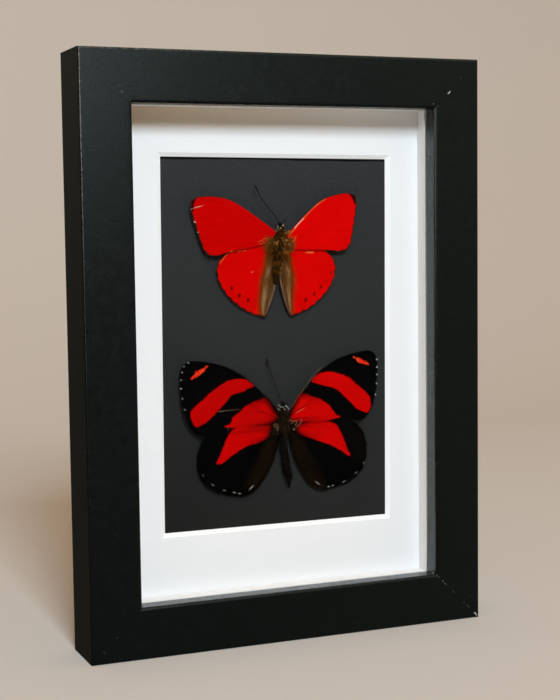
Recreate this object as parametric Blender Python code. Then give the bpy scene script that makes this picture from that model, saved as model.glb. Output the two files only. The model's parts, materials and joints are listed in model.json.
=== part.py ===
"""Framed butterfly specimen: two dried butterflies in a shallow black box frame.

Metres, +Z up. X runs across the frame and Y runs from the front face to the back.
The origin is the middle of the frame's underside, halfway through its depth.
"""
import math

import bmesh
import bpy
from mathutils import Matrix
from mathutils import Vector

MM = 0.001

# Frame
FRAME_WIDTH = 0.1280
FRAME_HEIGHT = 0.1770
FRAME_DEPTH = 0.0202
RAIL_FACE = 0.0155        # width of each rail's front face
LIP_DEPTH = 0.0055        # thickness of the lip that stands in front of the glass
LIP_OVERHANG = 0.0025     # how far the lip reaches over the glass
EDGE_ROUND = 0.0009       # radius of the rail's outer edges and of the lip's front edge
MITRE_GAP = 0.0001

# Layers behind the lip, front to back
SHEET_WIDTH = 0.1000
SHEET_HEIGHT = 0.1500
SHEET_FLOOR = 0.0133      # height of the sheets' lower edge, standing in the rabbet
LAYER_GAP = 0.0002
GLASS_THICKNESS = 0.0015
SPACER_HEIGHT = 0.00455
SPACER_THICKNESS = 0.0020
MAT_THICKNESS = 0.0014
CARD_THICKNESS = 0.0010
PANEL_THICKNESS = 0.0025

# Window of the mat, with a bevel that widens towards the glass
WINDOW_WIDTH = 0.0741
WINDOW_BOTTOM = 0.0338
WINDOW_TOP = 0.1468
WINDOW_BEVEL = 0.0012
MAT_ASIDE = 0.0005        # the mat sits a little to the right in the rabbet
WINDOW_TURN = 0.0062      # radians; the window was cut slightly askew

# Back hardware
TAB_WIDTH = 0.0080
TAB_TIP_WIDTH = 0.0046
TAB_LENGTH = 0.0140
TAB_THICKNESS = 0.0005
TAB_WALL_GAP = 0.0003
SIDE_TAB_HEIGHTS = (0.0480, 0.1220)
HANGER_HEIGHT = 0.1420    # height of the hanger's middle
HANGER_HALF_LENGTH = 0.0200
HANGER_PAD = 0.0060       # length of each flat end
HANGER_HALF_WIDTH = 0.0040
HANGER_STANDOFF = 0.0012  # how far the toothed bar stands off its flat ends
HANGER_THICKNESS = 0.0006
TOOTH_DEPTH = 0.0012
TOOTH_COUNT = 9
RIVET_RADIUS = 0.0013
RIVET_HEIGHT = 0.0007
RIVET_GAP = 0.0001

# Butterflies
WING_THICKNESS = 0.0003
WING_CUT_STEP = 3.0 * MM  # spacing of the vertex rows that let a wing bow
WING_GAP = 0.0003         # clearance between a wing and the body
ANTENNA_RADIUS = 0.00014
CLUB_SWELL = 2.2          # antenna club radius over shaft radius
SPLINE_STEPS = 3

# Distances from the front face to each layer's front
GLASS_AT = LIP_DEPTH + LAYER_GAP
SPACER_AT = GLASS_AT + GLASS_THICKNESS + LAYER_GAP
MAT_AT = SPACER_AT + SPACER_HEIGHT + LAYER_GAP
CARD_AT = MAT_AT + MAT_THICKNESS + LAYER_GAP
PANEL_AT = CARD_AT + CARD_THICKNESS + LAYER_GAP
BACK_OF_PANEL = PANEL_AT + PANEL_THICKNESS
FRONT_Y = -FRAME_DEPTH / 2
CARD_Y = FRONT_Y + CARD_AT

# Wing outlines for the right side, in millimetres from the butterfly's own centre:
# outwards, then towards the head. They start at the shoulder.
BROAD_FOREWING = [
    (1.2, 1.0), (4.8, 4.6), (10.0, 9.5), (15.0, 13.3), (20.0, 15.0), (24.5, 15.4), (26.6, 14.4),
    (26.9, 12.0), (26.1, 6.5), (25.3, 2.0), (24.0, -1.2), (21.0, -2.4), (15.0, -1.9), (6.0, -1.6),
]
TAPERED_HINDWING = [
    (1.0, -1.5), (6.0, 0.0), (11.0, -0.2), (15.3, -1.7), (18.4, -4.2), (19.7, -7.5), (18.9, -11.3),
    (16.4, -15.2), (12.6, -18.6), (8.6, -20.9), (5.1, -22.1), (3.9, -21.0), (2.0, -17.0), (0.8, -11.0),
]
LONG_FOREWING = [
    (1.9, 2.5), (4.4, 7.0), (8.9, 11.5), (12.9, 15.2), (18.9, 18.6), (24.9, 20.2), (29.5, 20.7),
    (31.9, 19.4), (32.7, 16.0), (32.4, 10.0), (31.4, 4.5), (29.4, 0.5), (27.0, -1.2), (21.0, -0.8),
    (11.0, -0.7), (4.5, -0.5),
]
ROUND_HINDWING = [
    (2.0, -1.5), (8.0, 0.2), (16.0, 0.4), (22.5, -0.8), (25.4, -2.4), (27.8, -5.5), (28.9, -10.5),
    (28.4, -14.5), (26.2, -18.3), (22.0, -21.0), (17.0, -22.4), (13.9, -22.6), (11.5, -22.0),
    (7.7, -18.5), (4.4, -13.0), (2.4, -6.0),
]

# Body stations in millimetres: along the body towards the head, radius, sideways lean
UPPER_BODY = [
    (6.1, 0.4, 0.6), (5.6, 1.0, 0.6), (4.8, 1.25, 0.5), (4.0, 1.0, 0.4), (3.5, 0.9, 0.4), (2.9, 1.6, 0.4),
    (1.6, 2.1, 0.4), (0.0, 2.3, 0.3), (-2.2, 2.1, 0.2), (-4.2, 1.5, 0.1), (-5.2, 1.1, 0.0),
    (-6.4, 1.4, 0.0), (-8.4, 1.5, 0.0), (-10.6, 1.2, 0.0), (-12.2, 0.7, 0.0), (-12.8, 0.3, 0.0),
]
LOWER_BODY = [
    (5.4, 0.4, 0.2), (5.0, 0.9, 0.2), (4.3, 1.1, 0.2), (3.6, 0.9, 0.2), (3.1, 0.8, 0.2), (2.5, 1.4, 0.2),
    (1.2, 1.9, 0.1), (-0.4, 2.0, 0.0), (-2.4, 1.8, 0.0), (-4.2, 1.3, 0.1), (-5.4, 1.1, 0.2),
    (-8.4, 1.35, 0.5), (-12.0, 1.4, 0.9), (-15.6, 1.2, 1.4), (-18.6, 0.8, 1.9), (-20.6, 0.3, 2.3),
]

# Antenna routes in millimetres from the butterfly's centre: across, towards the head, above the card
UPPER_ANTENNA = [(0.3, 6.8, 3.4), (-1.2, 8.8, 3.6), (-3.0, 11.0, 3.4), (-5.5, 14.5, 2.8), (-7.0, 18.0, 2.2)]
LOWER_ANTENNA = [(-0.6, 6.0, 3.0), (-1.8, 9.5, 3.2), (-2.9, 12.8, 2.9), (-4.0, 16.2, 2.4), (-4.9, 19.8, 1.9)]


def clear_scene():
    for obj in list(bpy.data.objects):
        bpy.data.objects.remove(obj, do_unlink=True)


def make_material(name, colour, roughness, metallic=0.0, alpha=1.0):
    material = bpy.data.materials.new(name)
    material.use_nodes = True
    shader = material.node_tree.nodes["Principled BSDF"]
    shader.inputs["Base Color"].default_value = (*colour, 1.0)
    shader.inputs["Roughness"].default_value = roughness
    shader.inputs["Metallic"].default_value = metallic
    shader.inputs["Alpha"].default_value = alpha
    return material


def make_object(name, bm, material, smooth_angle=None):
    """Turn a finished bmesh into a named object with its faces pointing out."""
    bmesh.ops.recalc_face_normals(bm, faces=bm.faces)
    mesh = bpy.data.meshes.new(name)
    bm.to_mesh(mesh)
    bm.free()
    if smooth_angle is not None:
        mesh.shade_smooth()
        mesh.set_sharp_from_angle(angle=math.radians(smooth_angle))
    mesh.materials.append(material)
    obj = bpy.data.objects.new(name, mesh)
    bpy.context.collection.objects.link(obj)
    return obj


def bridge_rings(bm, rings):
    """Close a row of equal rings of vertices into a solid with flat ends."""
    count = len(rings[0])
    for ring, following in zip(rings, rings[1:]):
        for i in range(count):
            j = (i + 1) % count
            bm.faces.new((ring[i], ring[j], following[j], following[i]))
    bm.faces.new(rings[0])
    bm.faces.new(rings[-1])


def make_slab(name, width, low_z, high_z, at, thickness, material, centre_x=0.0):
    """A flat upright sheet whose front stands `at` behind the frame's front face."""
    bm = bmesh.new()
    size = Vector((width, thickness, high_z - low_z))
    centre = Vector((centre_x, FRONT_Y + at + thickness / 2, (low_z + high_z) / 2))
    bmesh.ops.create_cube(bm, size=1.0, matrix=Matrix.Translation(centre) @ Matrix.Diagonal((*size, 1.0)))
    return make_object(name, bm, material)


def rounded_corner(corner, before, after, radius, steps=3):
    """Points of an arc that rounds a right-angled corner between two directions."""
    corner = Vector(corner)
    centre = corner + Vector(before) * radius + Vector(after) * radius
    points = []
    for step in range(steps + 1):
        angle = math.pi / 2 * step / steps
        arm = Vector(after) * math.cos(angle) + Vector(before) * math.sin(angle)
        points.append(centre - arm * radius)
    return points


def rail_profile():
    """Section of a rail: distance in from the outer edge, depth from the front face."""
    body = RAIL_FACE - LIP_OVERHANG
    profile = rounded_corner((0.0, 0.0), (0, 1), (1, 0), EDGE_ROUND)
    profile += rounded_corner((RAIL_FACE, 0.0), (-1, 0), (0, 1), EDGE_ROUND)
    profile.append(Vector((RAIL_FACE, LIP_DEPTH)))
    profile.append(Vector((body, LIP_DEPTH)))
    profile.append(Vector((body, FRAME_DEPTH)))
    profile += rounded_corner((0.0, FRAME_DEPTH), (1, 0), (0, -1), EDGE_ROUND)
    return profile


def make_rail(name, length, angle, material):
    """A mitred rail. It is built as the bottom rail and turned about the frame's middle."""
    bm = bmesh.new()
    reach = (FRAME_HEIGHT if length == FRAME_WIDTH else FRAME_WIDTH) / 2
    rings = []
    for side in (-1, 1):
        ring = []
        for inward, depth in rail_profile():
            end = side * (length / 2 - inward - MITRE_GAP)
            ring.append(bm.verts.new((end, FRONT_Y + depth, inward - reach)))
        rings.append(ring)
    bridge_rings(bm, rings)
    turn = Matrix.Rotation(math.radians(angle), 4, "Y")
    middle = Matrix.Translation((0, 0, FRAME_HEIGHT / 2))
    bmesh.ops.transform(bm, matrix=middle @ turn, verts=bm.verts)
    return make_object(name, bm, material, smooth_angle=40)


def make_mat_board(material):
    """The mat: a board with a bevelled window that is cut slightly askew."""
    window_height = WINDOW_TOP - WINDOW_BOTTOM
    window_centre = Vector((MAT_ASIDE, (WINDOW_TOP + WINDOW_BOTTOM) / 2))
    sheet_centre = Vector((MAT_ASIDE, SHEET_FLOOR + SHEET_HEIGHT / 2))
    layers = []
    bm = bmesh.new()
    for depth, spread in ((MAT_AT, WINDOW_BEVEL), (MAT_AT + MAT_THICKNESS, 0.0)):
        loops = []
        for centre, width, height, turn in (
            (sheet_centre, SHEET_WIDTH, SHEET_HEIGHT, 0.0),
            (window_centre, WINDOW_WIDTH + 2 * spread, window_height + 2 * spread, -WINDOW_TURN),
        ):
            loop = []
            for sx, sz in ((-1, -1), (1, -1), (1, 1), (-1, 1)):
                corner = centre + Matrix.Rotation(turn, 2) @ Vector((sx * width / 2, sz * height / 2))
                loop.append(bm.verts.new((corner.x, FRONT_Y + depth, corner.y)))
            loops.append(loop)
        layers.append(loops)
    front, back = layers
    for i in range(4):
        j = (i + 1) % 4
        bm.faces.new((front[0][i], front[0][j], front[1][j], front[1][i]))
        bm.faces.new((back[0][i], back[0][j], back[1][j], back[1][i]))
        bm.faces.new((front[0][i], front[0][j], back[0][j], back[0][i]))
        bm.faces.new((front[1][i], front[1][j], back[1][j], back[1][i]))
    return make_object("mat_board", bm, material)


def make_spacers(material):
    """Four strips that stand on edge around the rabbet and hold the mat off the glass."""
    sheet_top = SHEET_FLOOR + SHEET_HEIGHT
    middle_x = SHEET_WIDTH / 2 - SPACER_THICKNESS / 2 + 0.7 * MM
    inner_width = 2 * middle_x - SPACER_THICKNESS - 2 * LAYER_GAP
    lowest = SHEET_FLOOR + SPACER_THICKNESS
    highest = sheet_top + LAYER_GAP - SPACER_THICKNESS
    for name, side in (("spacer_left", -1), ("spacer_right", 1)):
        make_slab(name, SPACER_THICKNESS, SHEET_FLOOR, sheet_top, SPACER_AT, SPACER_HEIGHT, material,
                  side * middle_x)
    make_slab("spacer_bottom", inner_width, SHEET_FLOOR, lowest, SPACER_AT, SPACER_HEIGHT, material)
    make_slab("spacer_top", inner_width, highest, sheet_top + LAYER_GAP, SPACER_AT, SPACER_HEIGHT, material)


def make_tab(name, root, angle, material):
    """A flat steel tab that starts at the rabbet wall and narrows over the panel."""
    near = FRONT_Y + BACK_OF_PANEL + LAYER_GAP
    root_half = TAB_WIDTH / 2
    tip_half = TAB_TIP_WIDTH / 2
    outline = ((0.0, -root_half), (TAB_LENGTH * 0.72, -root_half), (TAB_LENGTH, -tip_half),
               (TAB_LENGTH, tip_half), (TAB_LENGTH * 0.72, root_half), (0.0, root_half))
    turn = Matrix.Rotation(math.radians(angle), 2)
    bm = bmesh.new()
    rings = []
    for y in (near, near + TAB_THICKNESS):
        places = [Vector(root) + turn @ Vector(point) for point in outline]
        rings.append([bm.verts.new((place.x, y, place.y)) for place in places])
    bridge_rings(bm, rings)
    make_object(name, bm, material)


def make_tabs(material):
    """Six tabs hold the back panel in the rabbet: two on each side, one at each end."""
    wall_x = FRAME_WIDTH / 2 - RAIL_FACE + LIP_OVERHANG - TAB_WALL_GAP
    wall_z = RAIL_FACE - LIP_OVERHANG + TAB_WALL_GAP
    for level, height in zip(("lower", "upper"), SIDE_TAB_HEIGHTS):
        make_tab(f"tab_left_{level}", (-wall_x, height), 0, material)
        make_tab(f"tab_right_{level}", (wall_x, height), 180, material)
    make_tab("tab_bottom", (0.0, wall_z), 90, material)
    make_tab("tab_top", (0.0, FRAME_HEIGHT - wall_z), -90, material)


def make_hanger(material):
    """A sawtooth hanger: a strip with flat ends and a raised bar with teeth along its lower edge."""
    at = FRONT_Y + BACK_OF_PANEL + LAYER_GAP
    bar = HANGER_HALF_LENGTH - HANGER_PAD
    ramp = HANGER_STANDOFF
    stations = [(-HANGER_HALF_LENGTH, 0.0, 0.0), (-bar, 0.0, 0.0), (-bar + ramp, 0.0, 1.0)]
    toothed = 2 * (bar - 2 * ramp)
    for i in range(2 * TOOTH_COUNT + 1):
        stations.append((-toothed / 2 + toothed * i / (2 * TOOTH_COUNT), float(i % 2), 1.0))
    stations += [(bar - ramp, 0.0, 1.0), (bar, 0.0, 0.0), (HANGER_HALF_LENGTH, 0.0, 0.0)]
    bm = bmesh.new()
    rings = []
    for x, tooth, raised in stations:
        low = HANGER_HEIGHT - HANGER_HALF_WIDTH + tooth * TOOTH_DEPTH
        high = HANGER_HEIGHT + HANGER_HALF_WIDTH
        near = at + raised * HANGER_STANDOFF
        far = near + HANGER_THICKNESS
        corners = ((x, near, low), (x, near, high), (x, far, high), (x, far, low))
        rings.append([bm.verts.new(corner) for corner in corners])
    bridge_rings(bm, rings)
    make_object("sawtooth_hanger", bm, material)
    for name, side in (("hanger_rivet_left", -1), ("hanger_rivet_right", 1)):
        rivet = bmesh.new()
        place = Vector((side * (HANGER_HALF_LENGTH - HANGER_PAD / 2),
                        at + HANGER_THICKNESS + RIVET_GAP + RIVET_HEIGHT / 2, HANGER_HEIGHT))
        frame = Matrix.Translation(place) @ Matrix.Rotation(math.radians(-90), 4, "X")
        bmesh.ops.create_cone(rivet, cap_ends=True, segments=20, radius1=RIVET_RADIUS,
                              radius2=RIVET_RADIUS * 0.65, depth=RIVET_HEIGHT, matrix=frame)
        make_object(name, rivet, material)


def smooth_path(points, steps, closed):
    """Points along a Catmull-Rom curve through the given ones."""
    points = [Vector(point) for point in points]
    count = len(points)
    spans = count if closed else count - 1
    path = []
    for i in range(spans):
        a = points[i - 1] if closed or i > 0 else points[0]
        b = points[i]
        c = points[(i + 1) % count]
        d = points[(i + 2) % count] if closed or i + 2 < count else points[-1]
        for step in range(steps):
            t = step / steps
            path.append(0.5 * (2 * b + (c - a) * t + (2 * a - 5 * b + 4 * c - d) * t * t
                               + (3 * b - a - 3 * c + d) * t ** 3))
    if not closed:
        path.append(points[-1])
    return path


def make_wing(name, outline, centre, side, root_cut, lift, droop, material,
              turn=0.0, shift=(0.0, 0.0), size=1.0):
    """A thin plate with the wing's outline, set `lift` above the card and drooping to its edge.

    root_cut keeps the plate's inner edge clear of the body, and turn, shift and size
    pose the left wings, which the setter didn't spread quite like the right ones.
    """
    centre = Vector(centre)
    span = max(u for u, v in outline) * MM
    bm = bmesh.new()
    edge = smooth_path(outline, SPLINE_STEPS, True)
    bm.faces.new([bm.verts.new((point.x * MM, 0.0, point.y * MM)) for point in edge])
    whole = list(bm.verts) + list(bm.edges) + list(bm.faces)
    bmesh.ops.bisect_plane(bm, geom=whole, plane_co=(root_cut, 0, 0), plane_no=(1, 0, 0), clear_inner=True)
    row = root_cut + WING_CUT_STEP
    while row < span - WING_CUT_STEP / 2:
        whole = list(bm.verts) + list(bm.edges) + list(bm.faces)
        bmesh.ops.bisect_plane(bm, geom=whole, plane_co=(row, 0, 0), plane_no=(1, 0, 0))
        row += WING_CUT_STEP
    bmesh.ops.triangulate(bm, faces=bm.faces)
    turning = Matrix.Rotation(math.radians(turn), 2)
    for vert in bm.verts:
        outward = vert.co.x / span
        place = turning @ Vector((side * vert.co.x, vert.co.z)) * size + Vector(shift) * MM
        height = lift + droop * outward ** 2
        vert.co = (centre.x + place.x, CARD_Y - height, centre.y + place.y)
    obj = make_object(name, bm, material)
    shell = obj.modifiers.new("thickness", "SOLIDIFY")
    shell.thickness = WING_THICKNESS
    shell.offset = 0.0
    return obj


def make_body(name, stations, centre, height, material):
    """Head, thorax and abdomen as one turned body that lies along the card."""
    sides = 12
    bm = bmesh.new()
    rings = []
    for along, radius, lean in stations:
        ring = []
        for i in range(sides):
            angle = 2 * math.pi * i / sides
            ring.append(bm.verts.new((
                centre[0] + (lean + radius * math.cos(angle)) * MM,
                CARD_Y - height - radius * math.sin(angle) * MM,
                centre[1] + along * MM,
            )))
        rings.append(ring)
    bridge_rings(bm, rings)
    return make_object(name, bm, material, smooth_angle=60)


def make_antenna(name, route, centre, material):
    """A fine tube that swells into a slim club at its tip."""
    curve = bpy.data.curves.new(name, "CURVE")
    curve.dimensions = "3D"
    curve.bevel_depth = ANTENNA_RADIUS
    curve.bevel_resolution = 2
    curve.use_fill_caps = True
    path = smooth_path(route, 4, False)
    spline = curve.splines.new("POLY")
    spline.points.add(len(path) - 1)
    for i, (point, place) in enumerate(zip(spline.points, path)):
        point.co = (centre[0] + place.x * MM, CARD_Y - place.z * MM, centre[1] + place.y * MM, 1.0)
        along = i / (len(path) - 1)
        point.radius = 1.0 + (CLUB_SWELL - 1.0) * max(0.0, along - 0.8) / 0.2
    curve.materials.append(material)
    obj = bpy.data.objects.new(name, curve)
    bpy.context.collection.objects.link(obj)
    return obj


def make_frame():
    lacquer = make_material("black_lacquer", (0.012, 0.015, 0.015), 0.38)
    make_rail("rail_bottom", FRAME_WIDTH, 0, lacquer)
    make_rail("rail_left", FRAME_HEIGHT, 90, lacquer)
    make_rail("rail_top", FRAME_WIDTH, 180, lacquer)
    make_rail("rail_right", FRAME_HEIGHT, 270, lacquer)


def make_layers():
    sheet_top = SHEET_FLOOR + SHEET_HEIGHT
    clear = make_material("clear_glass", (0.95, 0.97, 0.96), 0.03, alpha=0.15)
    white = make_material("white_card", (0.84, 0.86, 0.87), 0.85)
    black = make_material("black_card", (0.028, 0.030, 0.031), 0.9)
    board = make_material("brown_hardboard", (0.23, 0.14, 0.08), 0.75)
    make_slab("glass_pane", SHEET_WIDTH, SHEET_FLOOR, sheet_top, GLASS_AT, GLASS_THICKNESS, clear)
    make_spacers(white)
    make_mat_board(white)
    make_slab("backing_card", SHEET_WIDTH, SHEET_FLOOR, sheet_top, CARD_AT, CARD_THICKNESS, black)
    make_slab("back_panel", SHEET_WIDTH, SHEET_FLOOR, sheet_top, PANEL_AT, PANEL_THICKNESS, board)


def make_back_hardware():
    steel = make_material("zinc_steel", (0.55, 0.55, 0.53), 0.35, metallic=1.0)
    make_tabs(steel)
    make_hanger(steel)


def make_upper_butterfly():
    centre = (0.0, 0.1205)
    red = make_material("blood_red_wing", (0.62, 0.010, 0.006), 0.6)
    hair = make_material("golden_brown_hair", (0.085, 0.045, 0.012), 0.85)
    dark = make_material("dark_antenna", (0.015, 0.012, 0.010), 0.6)
    root = (0.4 + 2.3) * MM + WING_GAP
    make_body("upper_butterfly_body", UPPER_BODY, centre, 2.7 * MM, hair)
    make_wing("upper_butterfly_hindwing_left", TAPERED_HINDWING, centre, -1, root, 2.3 * MM, -0.9 * MM, red)
    make_wing("upper_butterfly_hindwing_right", TAPERED_HINDWING, centre, 1, root, 2.3 * MM, -0.9 * MM, red,
              shift=(0.3, 0.0))
    make_wing("upper_butterfly_forewing_left", BROAD_FOREWING, centre, -1, root, 3.3 * MM, -0.2 * MM, red,
              turn=8.5, shift=(1.0, 1.2), size=1.02)
    make_wing("upper_butterfly_forewing_right", BROAD_FOREWING, centre, 1, root, 3.3 * MM, -0.8 * MM, red)
    make_antenna("upper_butterfly_antenna", UPPER_ANTENNA, centre, dark)


def make_lower_butterfly():
    centre = (0.0014, 0.0660)
    black = make_material("black_wing", (0.008, 0.007, 0.008), 0.65)
    fur = make_material("dark_brown_fur", (0.022, 0.013, 0.008), 0.85)
    dark = make_material("black_antenna", (0.012, 0.010, 0.009), 0.6)
    root = (0.2 + 2.0) * MM + WING_GAP
    make_body("lower_butterfly_body", LOWER_BODY, centre, 2.4 * MM, fur)
    make_wing("lower_butterfly_hindwing_left", ROUND_HINDWING, centre, -1, root, 2.0 * MM, -0.6 * MM, black,
              turn=-3.0, shift=(0.6, -0.7))
    make_wing("lower_butterfly_hindwing_right", ROUND_HINDWING, centre, 1, root, 2.0 * MM, -0.6 * MM, black)
    make_wing("lower_butterfly_forewing_left", LONG_FOREWING, centre, -1, root, 3.0 * MM, -0.5 * MM, black,
              shift=(0.6, -1.0), size=1.04)
    make_wing("lower_butterfly_forewing_right", LONG_FOREWING, centre, 1, root, 3.0 * MM, -0.5 * MM, black)
    make_antenna("lower_butterfly_antenna", LOWER_ANTENNA, centre, dark)


clear_scene()
make_frame()
make_layers()
make_back_hardware()
make_upper_butterfly()
make_lower_butterfly()
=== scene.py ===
import json
import math

import bmesh
import bpy
import numpy as np
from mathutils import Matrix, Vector

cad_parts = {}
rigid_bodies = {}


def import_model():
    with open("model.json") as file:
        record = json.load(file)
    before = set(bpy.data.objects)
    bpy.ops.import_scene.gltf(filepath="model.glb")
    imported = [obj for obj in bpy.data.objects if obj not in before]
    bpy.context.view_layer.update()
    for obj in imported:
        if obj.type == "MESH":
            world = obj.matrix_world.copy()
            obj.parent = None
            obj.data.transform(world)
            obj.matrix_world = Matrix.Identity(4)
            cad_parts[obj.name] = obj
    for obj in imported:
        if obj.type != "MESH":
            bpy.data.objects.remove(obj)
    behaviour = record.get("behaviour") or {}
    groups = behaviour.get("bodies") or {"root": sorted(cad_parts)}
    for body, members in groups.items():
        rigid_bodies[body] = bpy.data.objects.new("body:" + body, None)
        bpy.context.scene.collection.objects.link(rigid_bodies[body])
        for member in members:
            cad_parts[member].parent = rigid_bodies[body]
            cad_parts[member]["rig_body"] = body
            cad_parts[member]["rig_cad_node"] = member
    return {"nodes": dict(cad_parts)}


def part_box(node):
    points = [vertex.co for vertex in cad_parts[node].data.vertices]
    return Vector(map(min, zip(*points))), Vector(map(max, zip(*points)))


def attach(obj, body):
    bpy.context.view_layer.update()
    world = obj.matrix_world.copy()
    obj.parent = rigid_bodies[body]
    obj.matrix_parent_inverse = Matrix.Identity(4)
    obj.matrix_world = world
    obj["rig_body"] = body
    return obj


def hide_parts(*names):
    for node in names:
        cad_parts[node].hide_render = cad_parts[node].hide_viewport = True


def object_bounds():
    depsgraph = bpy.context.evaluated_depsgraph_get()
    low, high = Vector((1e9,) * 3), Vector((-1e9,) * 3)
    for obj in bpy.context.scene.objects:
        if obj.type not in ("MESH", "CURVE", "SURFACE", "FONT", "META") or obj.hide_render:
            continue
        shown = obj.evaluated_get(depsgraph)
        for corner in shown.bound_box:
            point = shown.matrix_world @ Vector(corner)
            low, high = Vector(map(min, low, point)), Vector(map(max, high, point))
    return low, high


# Framed butterflies: a black lacquered box frame, a white mat and two dried, spread
# butterflies on dark card. Metres, +Y to the back, +Z up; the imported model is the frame.
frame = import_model()
cadLow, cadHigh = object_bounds()
nodes = frame["nodes"]
mm = 0.001
sameSpot, merged = 0.01 * mm, 0.001 * mm   # the slack for finding edges, and for merging points
frontY = cadLow.y
frameWidth = cadHigh.x - cadLow.x
frameHeight = cadHigh.z
frameDepth = cadHigh.y - cadLow.y
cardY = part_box("backing_card")[0].y
panelLow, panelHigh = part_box("back_panel")
print("frame loaded:", len(nodes), "nodes")


def freshSelection():
    if bpy.context.mode != "OBJECT":
        bpy.ops.object.mode_set(mode="OBJECT")
    bpy.ops.object.select_all(action="DESELECT")


def pick(piece):
    freshSelection()
    piece.select_set(True)
    bpy.context.view_layer.objects.active = piece


def bake(piece):
    # the place, turn and size go into the mesh, so the object stays at the origin
    pick(piece)
    bpy.ops.object.transform_apply(location=True, rotation=True, scale=True)
    return piece


def addBox(name, low, high):
    freshSelection()
    low, high = Vector(low), Vector(high)
    bpy.ops.mesh.primitive_cube_add(size=1, location=(low + high) / 2, scale=high - low)
    piece = bpy.context.active_object
    piece.name = name
    return bake(piece)


def editSelect(piece, kind, test):
    # goes into edit mode with only the faces, edges or verts that pass the test selected
    pick(piece)
    bpy.ops.object.mode_set(mode="EDIT")
    bpy.ops.mesh.select_all(action="DESELECT")
    bpy.ops.mesh.select_mode(type={"faces": "FACE", "edges": "EDGE", "verts": "VERT"}[kind])
    mesh = bmesh.from_edit_mesh(piece.data)
    for part in getattr(mesh, kind):
        if test(part):
            part.select_set(True)
    mesh.select_flush_mode()
    bmesh.update_edit_mesh(piece.data)


def leaveEdit():
    bpy.ops.object.mode_set(mode="OBJECT")


def editAll(piece):
    pick(piece)
    bpy.ops.object.mode_set(mode="EDIT")
    bpy.ops.mesh.select_all(action="SELECT")


def cutAway(piece, point, normal):
    # slices the piece with a plane, throws away the side the normal points to and closes the cut
    editAll(piece)
    bpy.ops.mesh.bisect(plane_co=point, plane_no=normal, use_fill=True, clear_outer=True,
                        threshold=merged)
    leaveEdit()


def scoreLine(piece, point, normal):
    editAll(piece)
    bpy.ops.mesh.bisect(plane_co=point, plane_no=normal)
    leaveEdit()


def finishModifier(piece, kind, **settings):
    pick(piece)
    modifier = piece.modifiers.new(kind.lower(), kind)
    for key, value in settings.items():
        setattr(modifier, key, value)
    bpy.ops.object.modifier_apply(modifier=modifier.name)


def faceOut(piece):
    editAll(piece)
    bpy.ops.mesh.normals_make_consistent(inside=False)
    leaveEdit()


def smoothShade(piece, degrees):
    pick(piece)
    bpy.ops.object.shade_smooth_by_angle(angle=math.radians(degrees))


def addObject(name, data):
    piece = bpy.data.objects.new(name, data)
    bpy.context.scene.collection.objects.link(piece)
    return piece


def joinPieces(name, pieces):
    pick(pieces[0])
    for other in pieces[1:]:
        other.select_set(True)
    bpy.ops.object.join()
    pieces[0].name = name
    return pieces[0]


def dress(piece, finish):
    piece.data.materials.clear()
    piece.data.materials.append(finish)


def place(piece, finish, slot, *replaced):
    # last step for every piece: its finish and the body it rides on; the CAD nodes it stands for are hidden
    dress(piece, finish)
    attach(piece, "root")
    if replaced:
        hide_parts(*replaced)
    return piece


class Wire:
    # a socket that can be added, subtracted and multiplied, by Math nodes
    def __init__(self, finish, socket):
        self.finish = finish
        self.socket = socket

    def maths(self, operation, *values):
        return self.finish.add("ShaderNodeMath", {"operation": operation}, dict(enumerate(values)))

    def __add__(self, other):
        return self.maths("ADD", self, other)

    def __sub__(self, other):
        return self.maths("SUBTRACT", self, other)

    def __rsub__(self, other):
        return self.maths("SUBTRACT", other, self)

    def __mul__(self, other):
        return self.maths("MULTIPLY", self, other)

    def most(self, other):
        return self.maths("MAXIMUM", self, other)

    def above(self, low, high):
        # 0 under low, 1 over high, smooth between
        return self.finish.add("ShaderNodeMapRange", {"interpolation_type": "SMOOTHSTEP"},
                               {"Value": self, "From Min": low, "From Max": high})

    def below(self, low, high):
        return 1 - self.above(low, high)

    __radd__ = __add__
    __rmul__ = __mul__


socketNames = dict(color="Base Color", roughness="Roughness", metallic="Metallic", normal="Normal", ior="IOR",
                   specular="Specular IOR Level", tint="Specular Tint", transmission="Transmission Weight")


class Nodes:
    # a node tree; add() makes any node
    def __init__(self, tree):
        self.tree = tree

    def plug(self, socket, value):
        if isinstance(value, Wire):
            self.tree.links.new(value.socket, socket)
        elif socket.type == "RGBA" and len(value) == 3:
            socket.default_value = (*value, 1)
        else:
            socket.default_value = value

    def add(self, kind, settings=None, sockets=None, out=0):
        node = self.tree.nodes.new(kind)
        for key, value in (settings or {}).items():
            setattr(node, key, value)
        for key, value in (sockets or {}).items():
            self.plug(node.inputs[key], value)
        return Wire(self, node.outputs[out])

    def spot(self):
        # the place on the object, in millimetres
        metres = self.add("ShaderNodeTexCoord", out=3)
        return self.add("ShaderNodeVectorMath", {"operation": "SCALE"}, {0: metres, "Scale": 1000.0})

    def parts(self, vector):
        node = self.add("ShaderNodeSeparateXYZ", sockets={0: vector}).socket.node
        return [Wire(self, socket) for socket in node.outputs]

    def vectors(self, operation, *values, out=0):
        return self.add("ShaderNodeVectorMath", {"operation": operation}, dict(enumerate(values)), out)

    def stretch(self, vector, amounts):
        return self.vectors("MULTIPLY", vector, amounts)

    def noise(self, vector, scale, detail=2.0, roughness=0.5):
        return self.add("ShaderNodeTexNoise", sockets={"Vector": vector, "Scale": scale, "Detail": detail,
                                                       "Roughness": roughness})

    def attribute(self, name):
        return self.add("ShaderNodeAttribute", {"attribute_name": name}, out=2)

    def mix(self, factor, first, second):
        return self.add("ShaderNodeMix", {"data_type": "RGBA"}, {0: factor, 6: first, 7: second}, out=2)


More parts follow.
